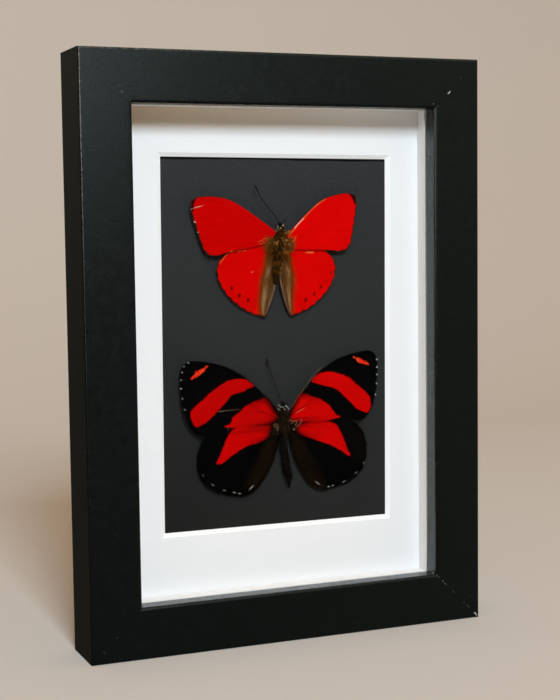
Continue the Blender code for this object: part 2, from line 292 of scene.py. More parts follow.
class Finish(Nodes):
    # one material with a Principled shader
    def __init__(self, name, **values):
        self.material = bpy.data.materials.new(name)
        self.material.use_nodes = True
        super().__init__(self.material.node_tree)
        self.tree.nodes.clear()
        self.shader = self.tree.nodes.new("ShaderNodeBsdfPrincipled")
        self.output = self.tree.nodes.new("ShaderNodeOutputMaterial")
        self.tree.links.new(self.shader.outputs[0], self.output.inputs["Surface"])
        self.set(**values)

    def set(self, **values):
        for key, value in values.items():
            self.plug(self.shader.inputs[socketNames[key]], value)

    def bump(self, height, **more):
        # height in millimetres
        self.set(normal=self.add("ShaderNodeBump", sockets={"Height": height, "Distance": mm, **more}))


# camera, floor, lights and room
stageLooks = dict(
    lens=76.67, cameraPlace=(-0.1740, -0.4204, 0.1263), cameraTurn=(85.217, 0.720, -22.552),
    floorColour=(0.61, 0.60, 0.57), floorSize=6.0, wallAway=1.1, wallHeight=2.2, wallRound=0.7,
    key=dict(power=47.5, colour=(0.84, 0.93, 1.0), away=2.2, side=-10.0, height=31.0, size=(0.50, 0.60)),
    sheen=dict(power=0.60, colour=(1.0, 0.92, 0.96), away=1.2, side=5.0, height=12.2, size=(0.34, 0.22),
               mirrorOnly=True),
    strip=dict(power=5.0, colour=(1.0, 0.74, 0.76), away=1.2, side=-60.0, height=13.0, size=(0.25, 0.46),
               mirrorOnly=True),
    airColour=(1.0, 0.60, 0.30), airMirrored=(0.95, 0.84, 0.64), airStrength=0.66, airLow=0.07,
)


def addLight(light):
    # side and height are degrees from straight in front of the frame's middle
    bpy.ops.object.light_add(type="AREA")
    lamp = bpy.context.active_object
    side, height = math.radians(light["side"]), math.radians(light["height"])
    towards = Vector((math.sin(side) * math.cos(height), -math.cos(side) * math.cos(height),
                      math.sin(height)))
    lamp.location = Vector((0, 0, frameHeight / 2)) + towards * light["away"]
    lamp.rotation_euler = towards.to_track_quat("Z", "Y").to_euler()
    lamp.data.shape = "RECTANGLE"
    lamp.data.size, lamp.data.size_y = light["size"]
    lamp.data.energy = light["power"]
    lamp.data.color = light["colour"]
    lamp.visible_diffuse = not light.get("mirrorOnly", False)


def makeFloor(looks):
    freshSelection()
    half = looks["floorSize"] / 2
    bpy.ops.mesh.primitive_plane_add(size=looks["floorSize"], location=(0, looks["wallAway"] - half, 0))
    floor = bake(bpy.context.active_object)
    floor.name = "floor"
    editSelect(floor, "edges", lambda edge: min(v.co.y for v in edge.verts) > looks["wallAway"] - 0.01)
    bpy.ops.mesh.extrude_region_move(TRANSFORM_OT_translate={"value": (0, 0, looks["wallHeight"])})
    leaveEdit()
    editSelect(floor, "edges", lambda edge: all(abs(v.co.y - looks["wallAway"]) < 0.01 and v.co.z < 0.01
                                                for v in edge.verts))
    bpy.ops.mesh.bevel(offset=looks["wallRound"], segments=24)
    leaveEdit()
    smoothShade(floor, 60)
    paint = Finish("floorPaint", roughness=0.85)
    cloud = paint.noise(paint.add("ShaderNodeTexCoord", out=3), 3.0, 3.0)
    pale = looks["floorColour"]
    paint.set(color=paint.mix(cloud, tuple(0.97 * c for c in pale), pale))
    floor.data.materials.append(paint.material)
    floor.visible_glossy = False   # the black lacquer mirrors the dim room, not the pale floor


def makeRoom(looks):
    # a dim warm room, brighter overhead and in front, darker low down and behind
    air = bpy.data.worlds.new("air")
    bpy.context.scene.world = air
    air.use_nodes = True
    room = Nodes(air.node_tree)
    x, y, z = room.parts(room.add("ShaderNodeTexCoord"))
    lightLevel = z.above(-0.15, 0.95) * (1 - y.above(-0.6, 0.8) * 0.6) + x.above(0.1, 0.7) * 0.20 + looks["airLow"]
    mirrored = room.add("ShaderNodeLightPath", out="Is Glossy Ray")
    tint = room.mix(mirrored, looks["airColour"], looks["airMirrored"])
    room.plug(air.node_tree.nodes["Background"].inputs["Color"], room.mix(lightLevel, (0, 0, 0), tint))
    air.node_tree.nodes["Background"].inputs["Strength"].default_value = looks["airStrength"]


def makeCamera(looks):
    bpy.ops.object.camera_add(location=looks["cameraPlace"])
    camera = bpy.context.active_object
    camera.rotation_euler = [math.radians(angle) for angle in looks["cameraTurn"]]
    camera.data.lens = looks["lens"]
    camera.data.clip_start = 0.01
    bpy.context.scene.camera = camera
    bpy.context.scene.view_settings.view_transform = "Standard"


makeFloor(stageLooks)
for kind in ("key", "sheen", "strip"):
    addLight(stageLooks[kind])
makeRoom(stageLooks)
makeCamera(stageLooks)
print("stage, light and camera ready")


# the box frame
railLooks = dict(
    face=0.0155, lipDepth=0.0055, lipOverhang=0.0025, edgeRound=0.0009, roundSteps=6, mitreGap=0.000005,
    spare=0.004,   # cut off again by the mitre
    # the colour of bare chips also paints the highlight on the front edges
    black=(0.0020, 0.0026, 0.0024), chipAndHighlight=(0.60, 0.60, 0.57), roughness=0.20,
    # chips in the lacquer: x, z, radius in millimetres, how bare they are, and how far behind the front
    chips=[(62.9, 1.0, 0.22, 1.0), (62.6, 1.4, 0.24, 1.0), (62.2, 1.7, 0.2, 0.9), (60.3, 3.7, 0.2, 0.05),
           (59.8, 4.2, 0.22, 0.08), (59.3, 4.7, 0.2, 0.05), (58.4, 5.5, 0.25, 0.06), (60.6, 7.4, 0.2, 0.06),
           (54.8, 9.1, 0.2, 0.10), (54.5, 9.5, 0.2, 0.08), (51.9, 12.0, 0.22, 0.07), (51.5, 12.4, 0.25, 0.10),
           (50.9, 13.2, 0.22, 0.14), (49.5, 14.5, 0.25, 0.08), (49.1, 14.9, 0.2, 0.07),
           (48.7, 15.3, 0.2, 0.6), (48.5, 15.7, 0.25, 1.0, 2.2), (48.1, 15.5, 0.22, 0.9, 1.6),
           (48.5, 16.0, 0.2, 0.8, 3.0),
           (53.9, 166.9, 0.18, 0.9), (53.6, 166.5, 0.22, 0.9), (53.3, 166.2, 0.18, 0.6),
           (48.1, 163.0, 0.22, 0.16), (49.6, 162.4, 0.2, 0.05), (57.9, 171.0, 0.4, 0.02),
           (-51.7, 164.7, 0.3, 0.07), (-51.3, 164.3, 0.3, 0.05), (-49.1, 162.1, 0.25, 0.09),
           (-50.0, 163.1, 0.25, 0.05), (-52.3, 166.2, 0.5, 0.02), (-56.3, 7.7, 0.4, 0.015),
           (-60.3, 3.7, 0.4, 0.02), (48.5, 152.0, 0.14, 0.3), (48.6, 144.5, 0.14, 0.2)],
)


def lacquerFinish(looks):
    lacquer = Finish("blackLacquer", ior=1.5, tint=(0.72, 0.94, 0.95))
    spot = lacquer.spot()
    x, y, z = lacquer.parts(spot)
    ragged = lacquer.noise(spot, 3.6, 2.0) * 0.6
    marks = lacquer.noise(spot, 1.9, 0.0).above(0.86, 0.90) * 0.05   # a little dust
    for across, up, radius, bare, *behind in looks["chips"]:
        away = lacquer.vectors("DISTANCE", spot, (across, frontY / mm + sum(behind), up), out=1)
        marks = marks.most((away + ragged).below(radius * 0.6 + 0.28, radius * 1.3 + 0.28) * bare)
    # painted highlight: light streaks, in the colour of bare chips, along the left and top front edges
    # towards their corner
    wearAndHighlight = lacquer.noise(spot, 0.8, 4.0, 0.7).above(0.38, 0.66)
    front = y.below(frontY / mm + 0.1, frontY / mm + 0.5) * wearAndHighlight
    left, top = cadLow.x / mm, frameHeight / mm
    leftEdge = x.below(left + 0.2, left + 0.8) * z.above(112.0, 160.0)
    topEdge = z.above(top - 0.8, top - 0.2) * x.below(-60.0, 0.0)
    # the painted edge highlight joins the chips and the dust
    marks = marks.most(front * leftEdge.most(topEdge) * 0.20)
    orange = lacquer.noise(spot, 1.5, 3.0, 0.6)
    haze = lacquer.noise(spot, 0.05, 3.0) * 0.6 + lacquer.noise(spot, 0.42, 4.0, 0.6) * 1.6 - 0.6
    lacquer.set(color=lacquer.mix(marks, looks["black"], looks["chipAndHighlight"]),
                roughness=looks["roughness"] + haze * 0.10 + marks * 0.3)
    lacquer.bump(orange * 0.034)
    return lacquer.material


def makeRail(name, length, reach, angle, looks):
    # built as a bottom rail about the frame's middle, then turned into place
    face, lip = looks["face"], looks["lipDepth"]
    body = face - looks["lipOverhang"] - reach
    end = length / 2 + looks["spare"]
    rail = addBox(name, (-end, frontY, -reach), (end, frontY + lip, face - reach))
    scoreLine(rail, (0, 0, body), (0, 0, 1))
    editSelect(rail, "faces", lambda part: part.normal.y > 0.9 and part.calc_center_median().z < body)
    bpy.ops.mesh.extrude_region_move(TRANSFORM_OT_translate={"value": (0, frameDepth - lip, 0)})
    leaveEdit()

    def isRounded(edge):
        first, second = (v.co for v in edge.verts)
        if abs(first.x - second.x) < length / 2:
            return False
        outer = max(first.z, second.z) < sameSpot - reach
        inner = first.z > face - reach - sameSpot and first.y < frontY + sameSpot
        return outer or inner

    editSelect(rail, "edges", isRounded)
    bpy.ops.mesh.bevel(offset=looks["edgeRound"], segments=looks["roundSteps"])
    leaveEdit()
    for side in (-1, 1):
        cutAway(rail, (side * (length / 2 - looks["mitreGap"]), 0, -reach), (side, 0, 1))
    rail.location = (0, 0, frameHeight / 2)
    rail.rotation_euler = (0, math.radians(angle), 0)
    bake(rail)
    faceOut(rail)
    smoothShade(rail, 35)
    finishModifier(rail, "WEIGHTED_NORMAL", keep_sharp=True, weight=100)
    return rail


def makeFrame(looks):
    lacquer = lacquerFinish(looks)
    halfWidth, halfHeight = frameWidth / 2, frameHeight / 2
    rails = (("bottom", frameWidth, halfHeight, 0), ("left", frameHeight, halfWidth, 90),
             ("top", frameWidth, halfHeight, 180), ("right", frameHeight, halfWidth, 270))
    for side, length, reach, angle in rails:
        rail = makeRail(side + "Rail", length, reach, angle, looks)
        place(rail, lacquer, "black_lacquer", "rail_" + side)


makeFrame(railLooks)
print("four rails done")


# glass, mat, spacers and card keep their CAD shapes
sheetLooks = dict(
    # painted light: the colour of the cut is lighter than the real core, to offset its shade
    # painted shade: the brown laid on the mat under the top rail
    white=(0.79, 0.805, 0.83), brightenedCore=(0.86, 0.875, 0.89), paintedRailShade=(0.62, 0.50, 0.37), foam=(0.88, 0.885, 0.88),
    # painted reflection: the lighter colour laid on the card's top
    charcoal=(0.0115, 0.0125, 0.0120), charcoalPale=(0.0185, 0.0195, 0.0190), cardGlare=(0.030, 0.0325, 0.035),
    # painted shadow on the card below the window's top edge: its height and slope
    gapShadowHeight=146.35, gapShadowSlope=0.0062,
    board=(0.20, 0.115, 0.060), boardPale=(0.30, 0.19, 0.11),
)


def glassFinish():
    glass = Finish("clearGlass", color=(1, 1, 1), roughness=0.0, ior=1.08, transmission=1.0)
    clear = glass.add("ShaderNodeBsdfTransparent", sockets={"Color": (0.975, 0.985, 0.98)})
    seen = Wire(glass, glass.shader.outputs[0])
    for kind in ("Is Shadow Ray", "Is Diffuse Ray"):   # the lamps and the room light what is inside
        ray = glass.add("ShaderNodeLightPath", out=kind)
        seen = glass.add("ShaderNodeMixShader", sockets={0: ray, 1: seen, 2: clear})
    glass.plug(glass.output.inputs["Surface"], seen)
    return glass.material


def paperFinish(name, colour, grain, brightenedCore=None, paintedRailShade=None):
    paper = Finish(name, roughness=0.9, specular=0.2)
    spot = paper.spot()
    tooth = paper.noise(spot, 5.0, 4.0, 0.6)
    cloud = paper.noise(spot, 0.08, 2.0)
    face = paper.mix(cloud * 0.5 + tooth * 0.5, tuple(0.96 * c for c in colour), colour)
    if paintedRailShade:
        # painted shade: brown laid on the paper under the top rail, most of all at the left, where the rail
        # shades it
        x, y, z = paper.parts(spot)
        face = paper.mix((z + cloud).above(153.5, 158.5) * x.below(-75.0, 80.0), face, paintedRailShade)
    if brightenedCore:
        # the sloping cut shows a whiter core, made lighter than the face as painted light against the shade
        # on the cut, and its pressed edge catches the light like the face
        normal = paper.add("ShaderNodeNewGeometry", out=1)
        cut = paper.parts(normal)[1].above(-0.98, -0.90)
        face = paper.mix(cut, face, brightenedCore)
        forward = paper.stretch(paper.add("ShaderNodeCombineXYZ", sockets={1: cut}), (0, -1.1, 0))
        paper.bump(tooth * grain, Normal=paper.vectors("NORMALIZE", paper.vectors("ADD", normal, forward)))
    else:
        paper.bump(tooth * grain)
    paper.set(color=face)
    return paper.material


def cardFinish(looks):
    card = Finish("charcoalCard", roughness=0.95)
    card.set(specular=0.05)
    spot = card.spot()
    x, y, z = card.parts(spot)
    warp = card.noise(spot, 0.9, 2.0)
    fibre = card.noise(card.stretch(spot, (1.0, 1.0, 3.2)), 1.5, 5.0, 0.7)
    fine = card.noise(spot, 6.0, 2.0)
    flecks = card.noise(card.stretch(spot, (1.4, 1.0, 0.6)), 3.1, 0.0).above(0.76, 0.82)
    tone = (fibre * 0.6 + warp * 0.25 + fine * 0.15).above(0.30, 0.72)
    ground = card.mix(tone, looks["charcoal"], looks["charcoalPale"])
    paintedGlare = (z + x * -0.12).above(20.0, 165.0)   # painted reflection: lighter towards its top, the glare of the glass
    ground = card.mix(paintedGlare * (tone * 0.3 + 0.7), ground, looks["cardGlare"])
    # painted shade: the card darker towards its lower left
    ground = card.mix((z * 0.6 + x).below(-20.0, 45.0) * 0.45, ground, (0.004, 0.004, 0.0035))
    ground = card.mix(flecks * 0.25, ground, (0.16, 0.16, 0.16))
    # painted shadow: a black line on the card just below the window's top edge, where the mat shades it; the
    # edge is cut a little askew
    wobble = card.noise(card.stretch(spot, (0.2, 1.0, 0.2)), 1.0, 1.0) * 0.7
    gapShadow = (z + x * looks["gapShadowSlope"] + wobble).above(looks["gapShadowHeight"], looks["gapShadowHeight"] + 0.2)
    card.set(color=card.mix(gapShadow * 0.92, ground, (0.0012, 0.0012, 0.0012)))
    card.bump(fibre * 0.03 + fine * 0.01)
    return card.material


def boardFinish(looks):
    board = Finish("brownHardboard", roughness=0.62)
    spot = board.spot()
    strands = board.noise(board.stretch(spot, (1.0, 1.0, 1.8)), 0.8, 6.0, 0.7)
    specks = board.noise(spot, 2.6, 2.0).above(0.55, 0.75)
    brown = board.mix(strands.above(0.35, 0.68), looks["board"], looks["boardPale"])
    board.set(color=board.mix(specks * 0.35, brown, (0.10, 0.055, 0.03)))
    board.bump(strands * 0.03 + specks * 0.01)
    return board.material


def dressSheets(looks):
    dress(nodes["glass_pane"], glassFinish())
    dress(nodes["mat_board"], paperFinish("whiteMat", looks["white"], 0.012, looks["brightenedCore"], looks["paintedRailShade"]))
    foam = paperFinish("spacerFoam", looks["foam"], 0.03)
    for side in ("left", "right", "bottom", "top"):
        dress(nodes["spacer_" + side], foam)
    dress(nodes["backing_card"], cardFinish(looks))


dressSheets(sheetLooks)
print("glass, mat, spacers and card dressed")


# the back: panel, tabs and hanger
backLooks = dict(
    panelEdge=0.0004, tabEdge=0.00012, hangerEdge=0.00010,
    steel=(0.52, 0.52, 0.50), rivetSteel=(0.60, 0.60, 0.58),
)


def steelFinish(name, colour):
    steel = Finish(name, metallic=1.0)
    spot = steel.spot()
    spangle = steel.noise(spot, 0.9, 3.0)
    brushed = steel.noise(steel.stretch(spot, (0.3, 1.0, 6.0)), 2.0, 3.0)
    steel.set(color=steel.mix(spangle, tuple(0.8 * c for c in colour), colour),
              roughness=0.26 + brushed * 0.22)
    steel.bump(brushed * 0.01)
    return steel.material


def copyOfNode(name, node):
    # a copy of a CAD node with its triangles merged, to be worked on further
    piece = nodes[node].copy()
    piece.data = nodes[node].data.copy()
    piece.parent = None
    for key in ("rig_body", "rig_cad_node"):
        del piece[key]
    bpy.context.scene.collection.objects.link(piece)
    piece.name = name
    editAll(piece)
    bpy.ops.mesh.remove_doubles(threshold=merged)
    bpy.ops.mesh.dissolve_limited(angle_limit=math.radians(1))
    leaveEdit()
    return piece


def makeRivet(name, low, high):
    # a flattened ball, cut at the face it sits on
    radius = (high.x - low.x) / 2
    freshSelection()
    bpy.ops.mesh.primitive_uv_sphere_add(segments=28, ring_count=14, radius=radius,
                                         location=((low.x + high.x) / 2, low.y, (low.z + high.z) / 2),
                                         rotation=(math.radians(90), 0, 0))
    rivet = bpy.context.active_object
    rivet.scale = (1, 1, (high.y - low.y) / radius)
    rivet.name = name
    bake(rivet)
    cutAway(rivet, (0, low.y, 0), (0, -1, 0))
    smoothShade(rivet, 40)
    return rivet


def makeBack(looks):
    panel = addBox("backPanel", panelLow, panelHigh)
    finishModifier(panel, "BEVEL", width=looks["panelEdge"], segments=3)
    smoothShade(panel, 40)
    place(panel, boardFinish(sheetLooks), "brown_hardboard", "back_panel")
    steel = steelFinish("zincSteel", looks["steel"])
    for where in ("left_lower", "left_upper", "right_lower", "right_upper", "bottom", "top"):
        node = "tab_" + where
        tab = copyOfNode("tab" + where.title().replace("_", ""), node)
        finishModifier(tab, "BEVEL", width=looks["tabEdge"], segments=2)
        smoothShade(tab, 40)
        place(tab, steel, "zinc_steel", node)
    hanger = copyOfNode("sawtoothHanger", "sawtooth_hanger")
    finishModifier(hanger, "BEVEL", width=looks["hangerEdge"], segments=2, limit_method="ANGLE")
    smoothShade(hanger, 40)
    place(hanger, steel, "zinc_steel", "sawtooth_hanger")
    bright = steelFinish("rivetSteel", looks["rivetSteel"])
    for side in ("left", "right"):
        rivet = makeRivet(side + "Rivet", *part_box("hanger_rivet_" + side))
        place(rivet, bright, "zinc_steel", "hanger_rivet_" + side)


makeBack(backLooks)
print("back panel, tabs and hanger done")


# curves and distances for the butterflies, all in millimetres
def softLine(points, count):
    # evenly spaced points on a smooth curve through the given ones
    points = np.array(points, float)
    ends = np.vstack([2 * points[0] - points[1], points, 2 * points[-1] - points[-2]])
    dense = []
    for i in range(1, len(ends) - 2):
        a, b, c, d = ends[i - 1:i + 3]
        t = np.linspace(0, 1, 24, endpoint=False)[:, None]
        dense.append(0.5 * (2 * b + (c - a) * t + (2 * a - 5 * b + 4 * c - d) * t ** 2
                            + (3 * b - a - 3 * c + d) * t ** 3))
    dense.append(points[-1:])
    dense = np.vstack(dense)
    steps = np.linalg.norm(np.diff(dense, axis=0), axis=1)
    along = np.concatenate([[0], np.cumsum(steps)]) / steps.sum()
    wanted = np.linspace(0, 1, count)
    return np.stack([np.interp(wanted, along, dense[:, k]) for k in range(dense.shape[1])], 1)


def unit(rows):
    return rows / np.linalg.norm(rows, axis=1)[:, None]


def directions(line):
    # along the line and square to it, at each of its points
    along = unit(np.gradient(line, axis=0))
    return along, np.stack([-along[:, 1], along[:, 0]], 1)


def distanceTo(places, line):
    # distance from each place to the nearest stretch of a line
    best = np.full(len(places), np.inf)
    for a, b in zip(line[:-1], line[1:]):
        along = b - a
        t = np.clip(((places - a) @ along) / max(along @ along, 1e-12), 0, 1)
        best = np.minimum(best, np.linalg.norm(places - a - t[:, None] * along, axis=1))
    return best


def insideOf(places, outline):
    # signed distance to a closed outline, positive inside
    ring = np.vstack([outline, outline[:1]])
    inside = np.zeros(len(places), bool)
    for a, b in zip(ring[:-1], ring[1:]):
        crosses = (a[1] > places[:, 1]) != (b[1] > places[:, 1])
        with np.errstate(divide="ignore", invalid="ignore"):
            x = a[0] + (places[:, 1] - a[1]) * (b[0] - a[0]) / (b[1] - a[1])
        inside ^= crosses & (places[:, 0] < x)
    return np.where(inside, 1, -1) * distanceTo(places, ring)


def softRing(points, count=90):
    # a closed smooth curve
    points = list(points)
    looped = points[-2:] + points + points[:3]
    line = softLine(looped, count * 3)
    first = np.argmin(np.linalg.norm(line - points[0], axis=1)[:len(line) // 3])
    last = len(line) // 2 + np.argmin(np.linalg.norm(line - points[0], axis=1)[len(line) // 2:])
    return line[first:last]


def writeAttribute(piece, name, values):
    layer = piece.data.attributes.new(name, "FLOAT", "POINT")
    layer.data.foreach_set("value", np.asarray(values, np.float32))


# hairs: one is modelled, then copied
def modelHair():
    freshSelection()
    bpy.ops.mesh.primitive_cone_add(vertices=4, radius1=1, radius2=0.12, depth=1, location=(0, 0, 0.5))
    hair = bake(bpy.context.active_object)
    hair.name = "oneHair"
    for height in (0.35, 0.7):
        scoreLine(hair, (0, 0, height), (0, 0, 1))
    mesh = hair.data
    shape = np.array([v.co for v in mesh.vertices])
    faces = [tuple(face.vertices) for face in mesh.polygons]
    bpy.data.objects.remove(hair)
    return shape, faces


hairShape, hairFaces = modelHair()


def copyHairs(name, roots, towards, bends, lengths, radii, tones):
    # roots, directions and sideways bends are rows of x, y, z in metres
    towards = unit(towards)
    helper = np.where(np.abs(towards[:, :1]) < 0.8, [[1.0, 0, 0]], [[0, 0, 1.0]])
    across = unit(np.cross(towards, helper))
    other = np.cross(towards, across)
    up = hairShape[:, 2]
    ring = hairShape[:, 0][None, :, None] * across[:, None] + hairShape[:, 1][None, :, None] * other[:, None]
    spine = up[None, :, None] * towards[:, None] + (up ** 2)[None, :, None] * bends[:, None]
    points = roots[:, None] + spine * lengths[:, None, None] + ring * radii[:, None, None]
    count, each = len(roots), len(hairShape)
    faces = [tuple(v + i * each for v in face) for i in range(count) for face in hairFaces]
    mesh = bpy.data.meshes.new(name)
    mesh.from_pydata(points.reshape(-1, 3), [], faces)
    mesh.update()
    piece = addObject(name, mesh)
    faceOut(piece)
    writeAttribute(piece, "tone", np.repeat(tones, each))
    writeAttribute(piece, "tip", np.tile(up, count))
    smoothShade(piece, 80)
    return piece


# the two butterflies. Wing sides are points in millimetres from the butterfly's middle, for a right
# wing: out along the front edge, round the outer margin, and out along the rear or inner edge.
# heights are above the card: front root, front tip, rear root, rear tip, and the swell between
broadForewing = dict(
    front=[(1.2, 1.0), (4.8, 4.6), (10, 9.5), (15, 13.3), (20, 15.0), (24.5, 15.4), (26.5, 14.6)],
    outer=[(26.5, 14.6), (26.9, 12), (26.1, 6.5), (25.3, 2.0), (24.6, -0.4), (23.3, -1.9)],
    rear=[(1.6, -1.2), (6, -1.6), (12, -1.8), (18, -2.1), (20.5, -2.4), (23.3, -1.9)],
    heights=(3.5, 2.7, 3.1, 2.5, 0.25), scallops=(6, 0.24), across=-0.14)
taperedHindwing = dict(
    front=[(1, -1.5), (6, 0), (11, -0.2), (15.3, -1.7), (17.3, -3.2), (18.9, -4.8)],
    outer=[(18.9, -4.8), (19.7, -7.5), (18.9, -11.3), (16.4, -15.2), (12.6, -18.6), (8.6, -20.9), (4.6, -22)],
    rear=[(0.7, -4), (0.5, -7), (0.6, -11), (1.3, -14.5), (2.4, -18), (3.6, -20.8), (4.6, -22)],
    heights=(2.3, 1.5, 2.3, 1.4, 0.25), scallops=(9, 0.36), across=0.30, trough=0.45)
longForewing = dict(
    front=[(1.9, 2.5), (4.4, 7), (8.9, 11.5), (12.9, 15.2), (18.9, 18.6), (24.9, 20.2), (29.5, 20.7),
           (31.5, 19.8)],
    outer=[(31.5, 19.8), (32.6, 17.5), (32.6, 13), (32.2, 8), (31, 3.5), (29.4, 0.5), (27.9, -0.7)],
    rear=[(1.9, -0.3), (8, -0.6), (16, -0.8), (22, -0.8), (26, -1.2), (27.9, -0.7)],
    heights=(3.3, 2.6, 2.9, 2.4, 0.25), scallops=(8, 0.16), across=-0.14)
roundHindwing = dict(
    front=[(2, -1.5), (8, 0.2), (16, 0.4), (22, -0.6), (25.4, -2.4)],
    outer=[(25.4, -2.4), (27.6, -5), (28.8, -9), (28.7, -13.5), (26.6, -17.9), (22.5, -20.8), (17.5, -22.3),
           (13.9, -22.6)],
    rear=[(1.5, -4), (2.6, -7.5), (4.4, -13), (7.7, -18.5), (10.4, -21.3), (13.9, -22.6)],
    heights=(2.0, 1.5, 2.1, 1.3, 0.2), scallops=(8, 0.25), across=0.30, trough=0.5)
# veins as (out, back) shares of the wing
foreVeins = [
    [(0, 0.10), (0.4, 0.07), (0.62, 0.0)], [(0, 0.20), (0.42, 0.14), (0.80, 0.05), (1, 0.03)],
    [(0.50, 0.12), (0.78, 0.0)], [(0.62, 0.10), (0.90, 0.0)], [(0.42, 0.16), (0.7, 0.18), (1, 0.16)],
    [(0.41, 0.26), (0.7, 0.29), (1, 0.31)], [(0.42, 0.36), (0.7, 0.43), (1, 0.46)],
    [(0, 0.42), (0.2, 0.46), (0.42, 0.38)], [(0.36, 0.41), (0.7, 0.56), (1, 0.62)],
    [(0.22, 0.46), (0.6, 0.70), (1, 0.79)], [(0, 0.80), (0.5, 0.88), (1, 0.94)],
    [(0.42, 0.14), (0.40, 0.26), (0.42, 0.38)]]
hindVeins = [
    [(0, 0.12), (0.4, 0.06), (0.9, 0.03)], [(0, 0.25), (0.4, 0.20), (1, 0.11)],
    [(0.38, 0.20), (0.7, 0.25), (1, 0.25)], [(0.38, 0.30), (0.7, 0.36), (1, 0.38)],
    [(0.37, 0.40), (0.7, 0.48), (1, 0.52)], [(0, 0.48), (0.2, 0.50), (0.37, 0.42)],
    [(0.32, 0.44), (0.65, 0.58), (1, 0.65)], [(0.2, 0.5), (0.6, 0.69), (1, 0.78)],
    [(0, 0.68), (0.5, 0.80), (1, 0.89)], [(0.38, 0.20), (0.36, 0.30), (0.37, 0.42)]]
wingLooks = dict(stepsOut=150, stepsBack=100, thickness=0.13, veinHeight=0.045, veinWidth=0.16, pleat=0.06,
                 marginHairs=600, innerHairs=400)


def sideAt(line, share):
    marks = np.linspace(0, 1, len(line))
    return np.stack([np.interp(share, marks, line[:, k]) for k in (0, 1)], -1)


def wingSides(shape):
    front, outer, rear = (softLine(shape[key], 160) for key in ("front", "outer", "rear"))
    count, depth = shape["scallops"]
    share = np.linspace(0, 1, len(outer))
    outward = directions(outer)[1]
    fade = np.clip(np.minimum(share, 1 - share) * 12, 0, 1)
    outer = outer + outward * (depth * fade * (np.cos(2 * np.pi * count * share) - 1) / 2)[:, None]
    return front, outer, rear


def wingPlace(sides, out, back):
    # the wing's four sides blended into a smooth sheet
    front, outer, rear = sides
    root = np.stack([front[0], rear[0]])
    u, v = out[:, None], back[:, None]
    edges = (1 - v) * sideAt(front, out) + v * sideAt(rear, out)
    edges += (1 - u) * sideAt(root, back) + u * sideAt(outer, back)
    corners = (1 - v) * ((1 - u) * front[0] + u * front[-1]) + v * ((1 - u) * rear[0] + u * rear[-1])
    return edges - corners


def poseWing(places, middle, wing):
    # a left wing is the right one mirrored, then turned, sized and moved as it was set
    turn, size, shift = math.radians(wing.get("turn", 0)), wing.get("size", 1), wing.get("shift", (0, 0))
    x, z = places[:, 0] * wing["side"], places[:, 1]
    return np.stack([(x * math.cos(turn) - z * math.sin(turn)) * size + shift[0] + middle[0],
                     (x * math.sin(turn) + z * math.cos(turn)) * size + shift[1] + middle[1]], 1)


def wingHeight(shape, wing, out, back, veinAway):
    frontRoot, frontTip, rearRoot, rearTip, swell = shape["heights"]
    lift = wing.get("lift", (0, 0))
    height = (1 - back) * ((1 - out) * frontRoot + out * (frontTip + lift[0]))
    height += back * ((1 - out) * rearRoot + out * (rearTip + lift[1]))
    height += swell * np.sin(np.pi * out) * np.sin(np.pi * back)
    # the veins stand up like ribs, and the sheet sags a little between them
    height += wingLooks["veinHeight"] * np.exp(-(veinAway / wingLooks["veinWidth"]) ** 2)
    height -= wingLooks["pleat"] * np.clip(veinAway / 1.2, 0, 1) ** 1.5 * (0.3 + out)
    if "trough" in shape:
        # the inner edge is folded down beside the abdomen and up again
        height -= shape["trough"] * np.exp(-((back - 0.86) / 0.07) ** 2)
        height += 0.5 * shape["trough"] * np.exp(-((back - 1.0) / 0.05) ** 2)
    return height


def patch(*outline):
    # a marking with a closed, rounded outline
    outline = softRing(outline)
    return lambda places: insideOf(places, outline)


def stroke(half, *points):
    # a marking along a line, or round a single point, with its half width
    line = softLine(points, 20) if len(points) > 1 else np.array(points * 2, float)
    return lambda places: half - distanceTo(places, line)


def marksAt(places, marks):
    # signed distance to the nearest marking, positive inside
    return np.max([np.full(len(places), -9.0)] + [mark(places) for mark in marks], axis=0)


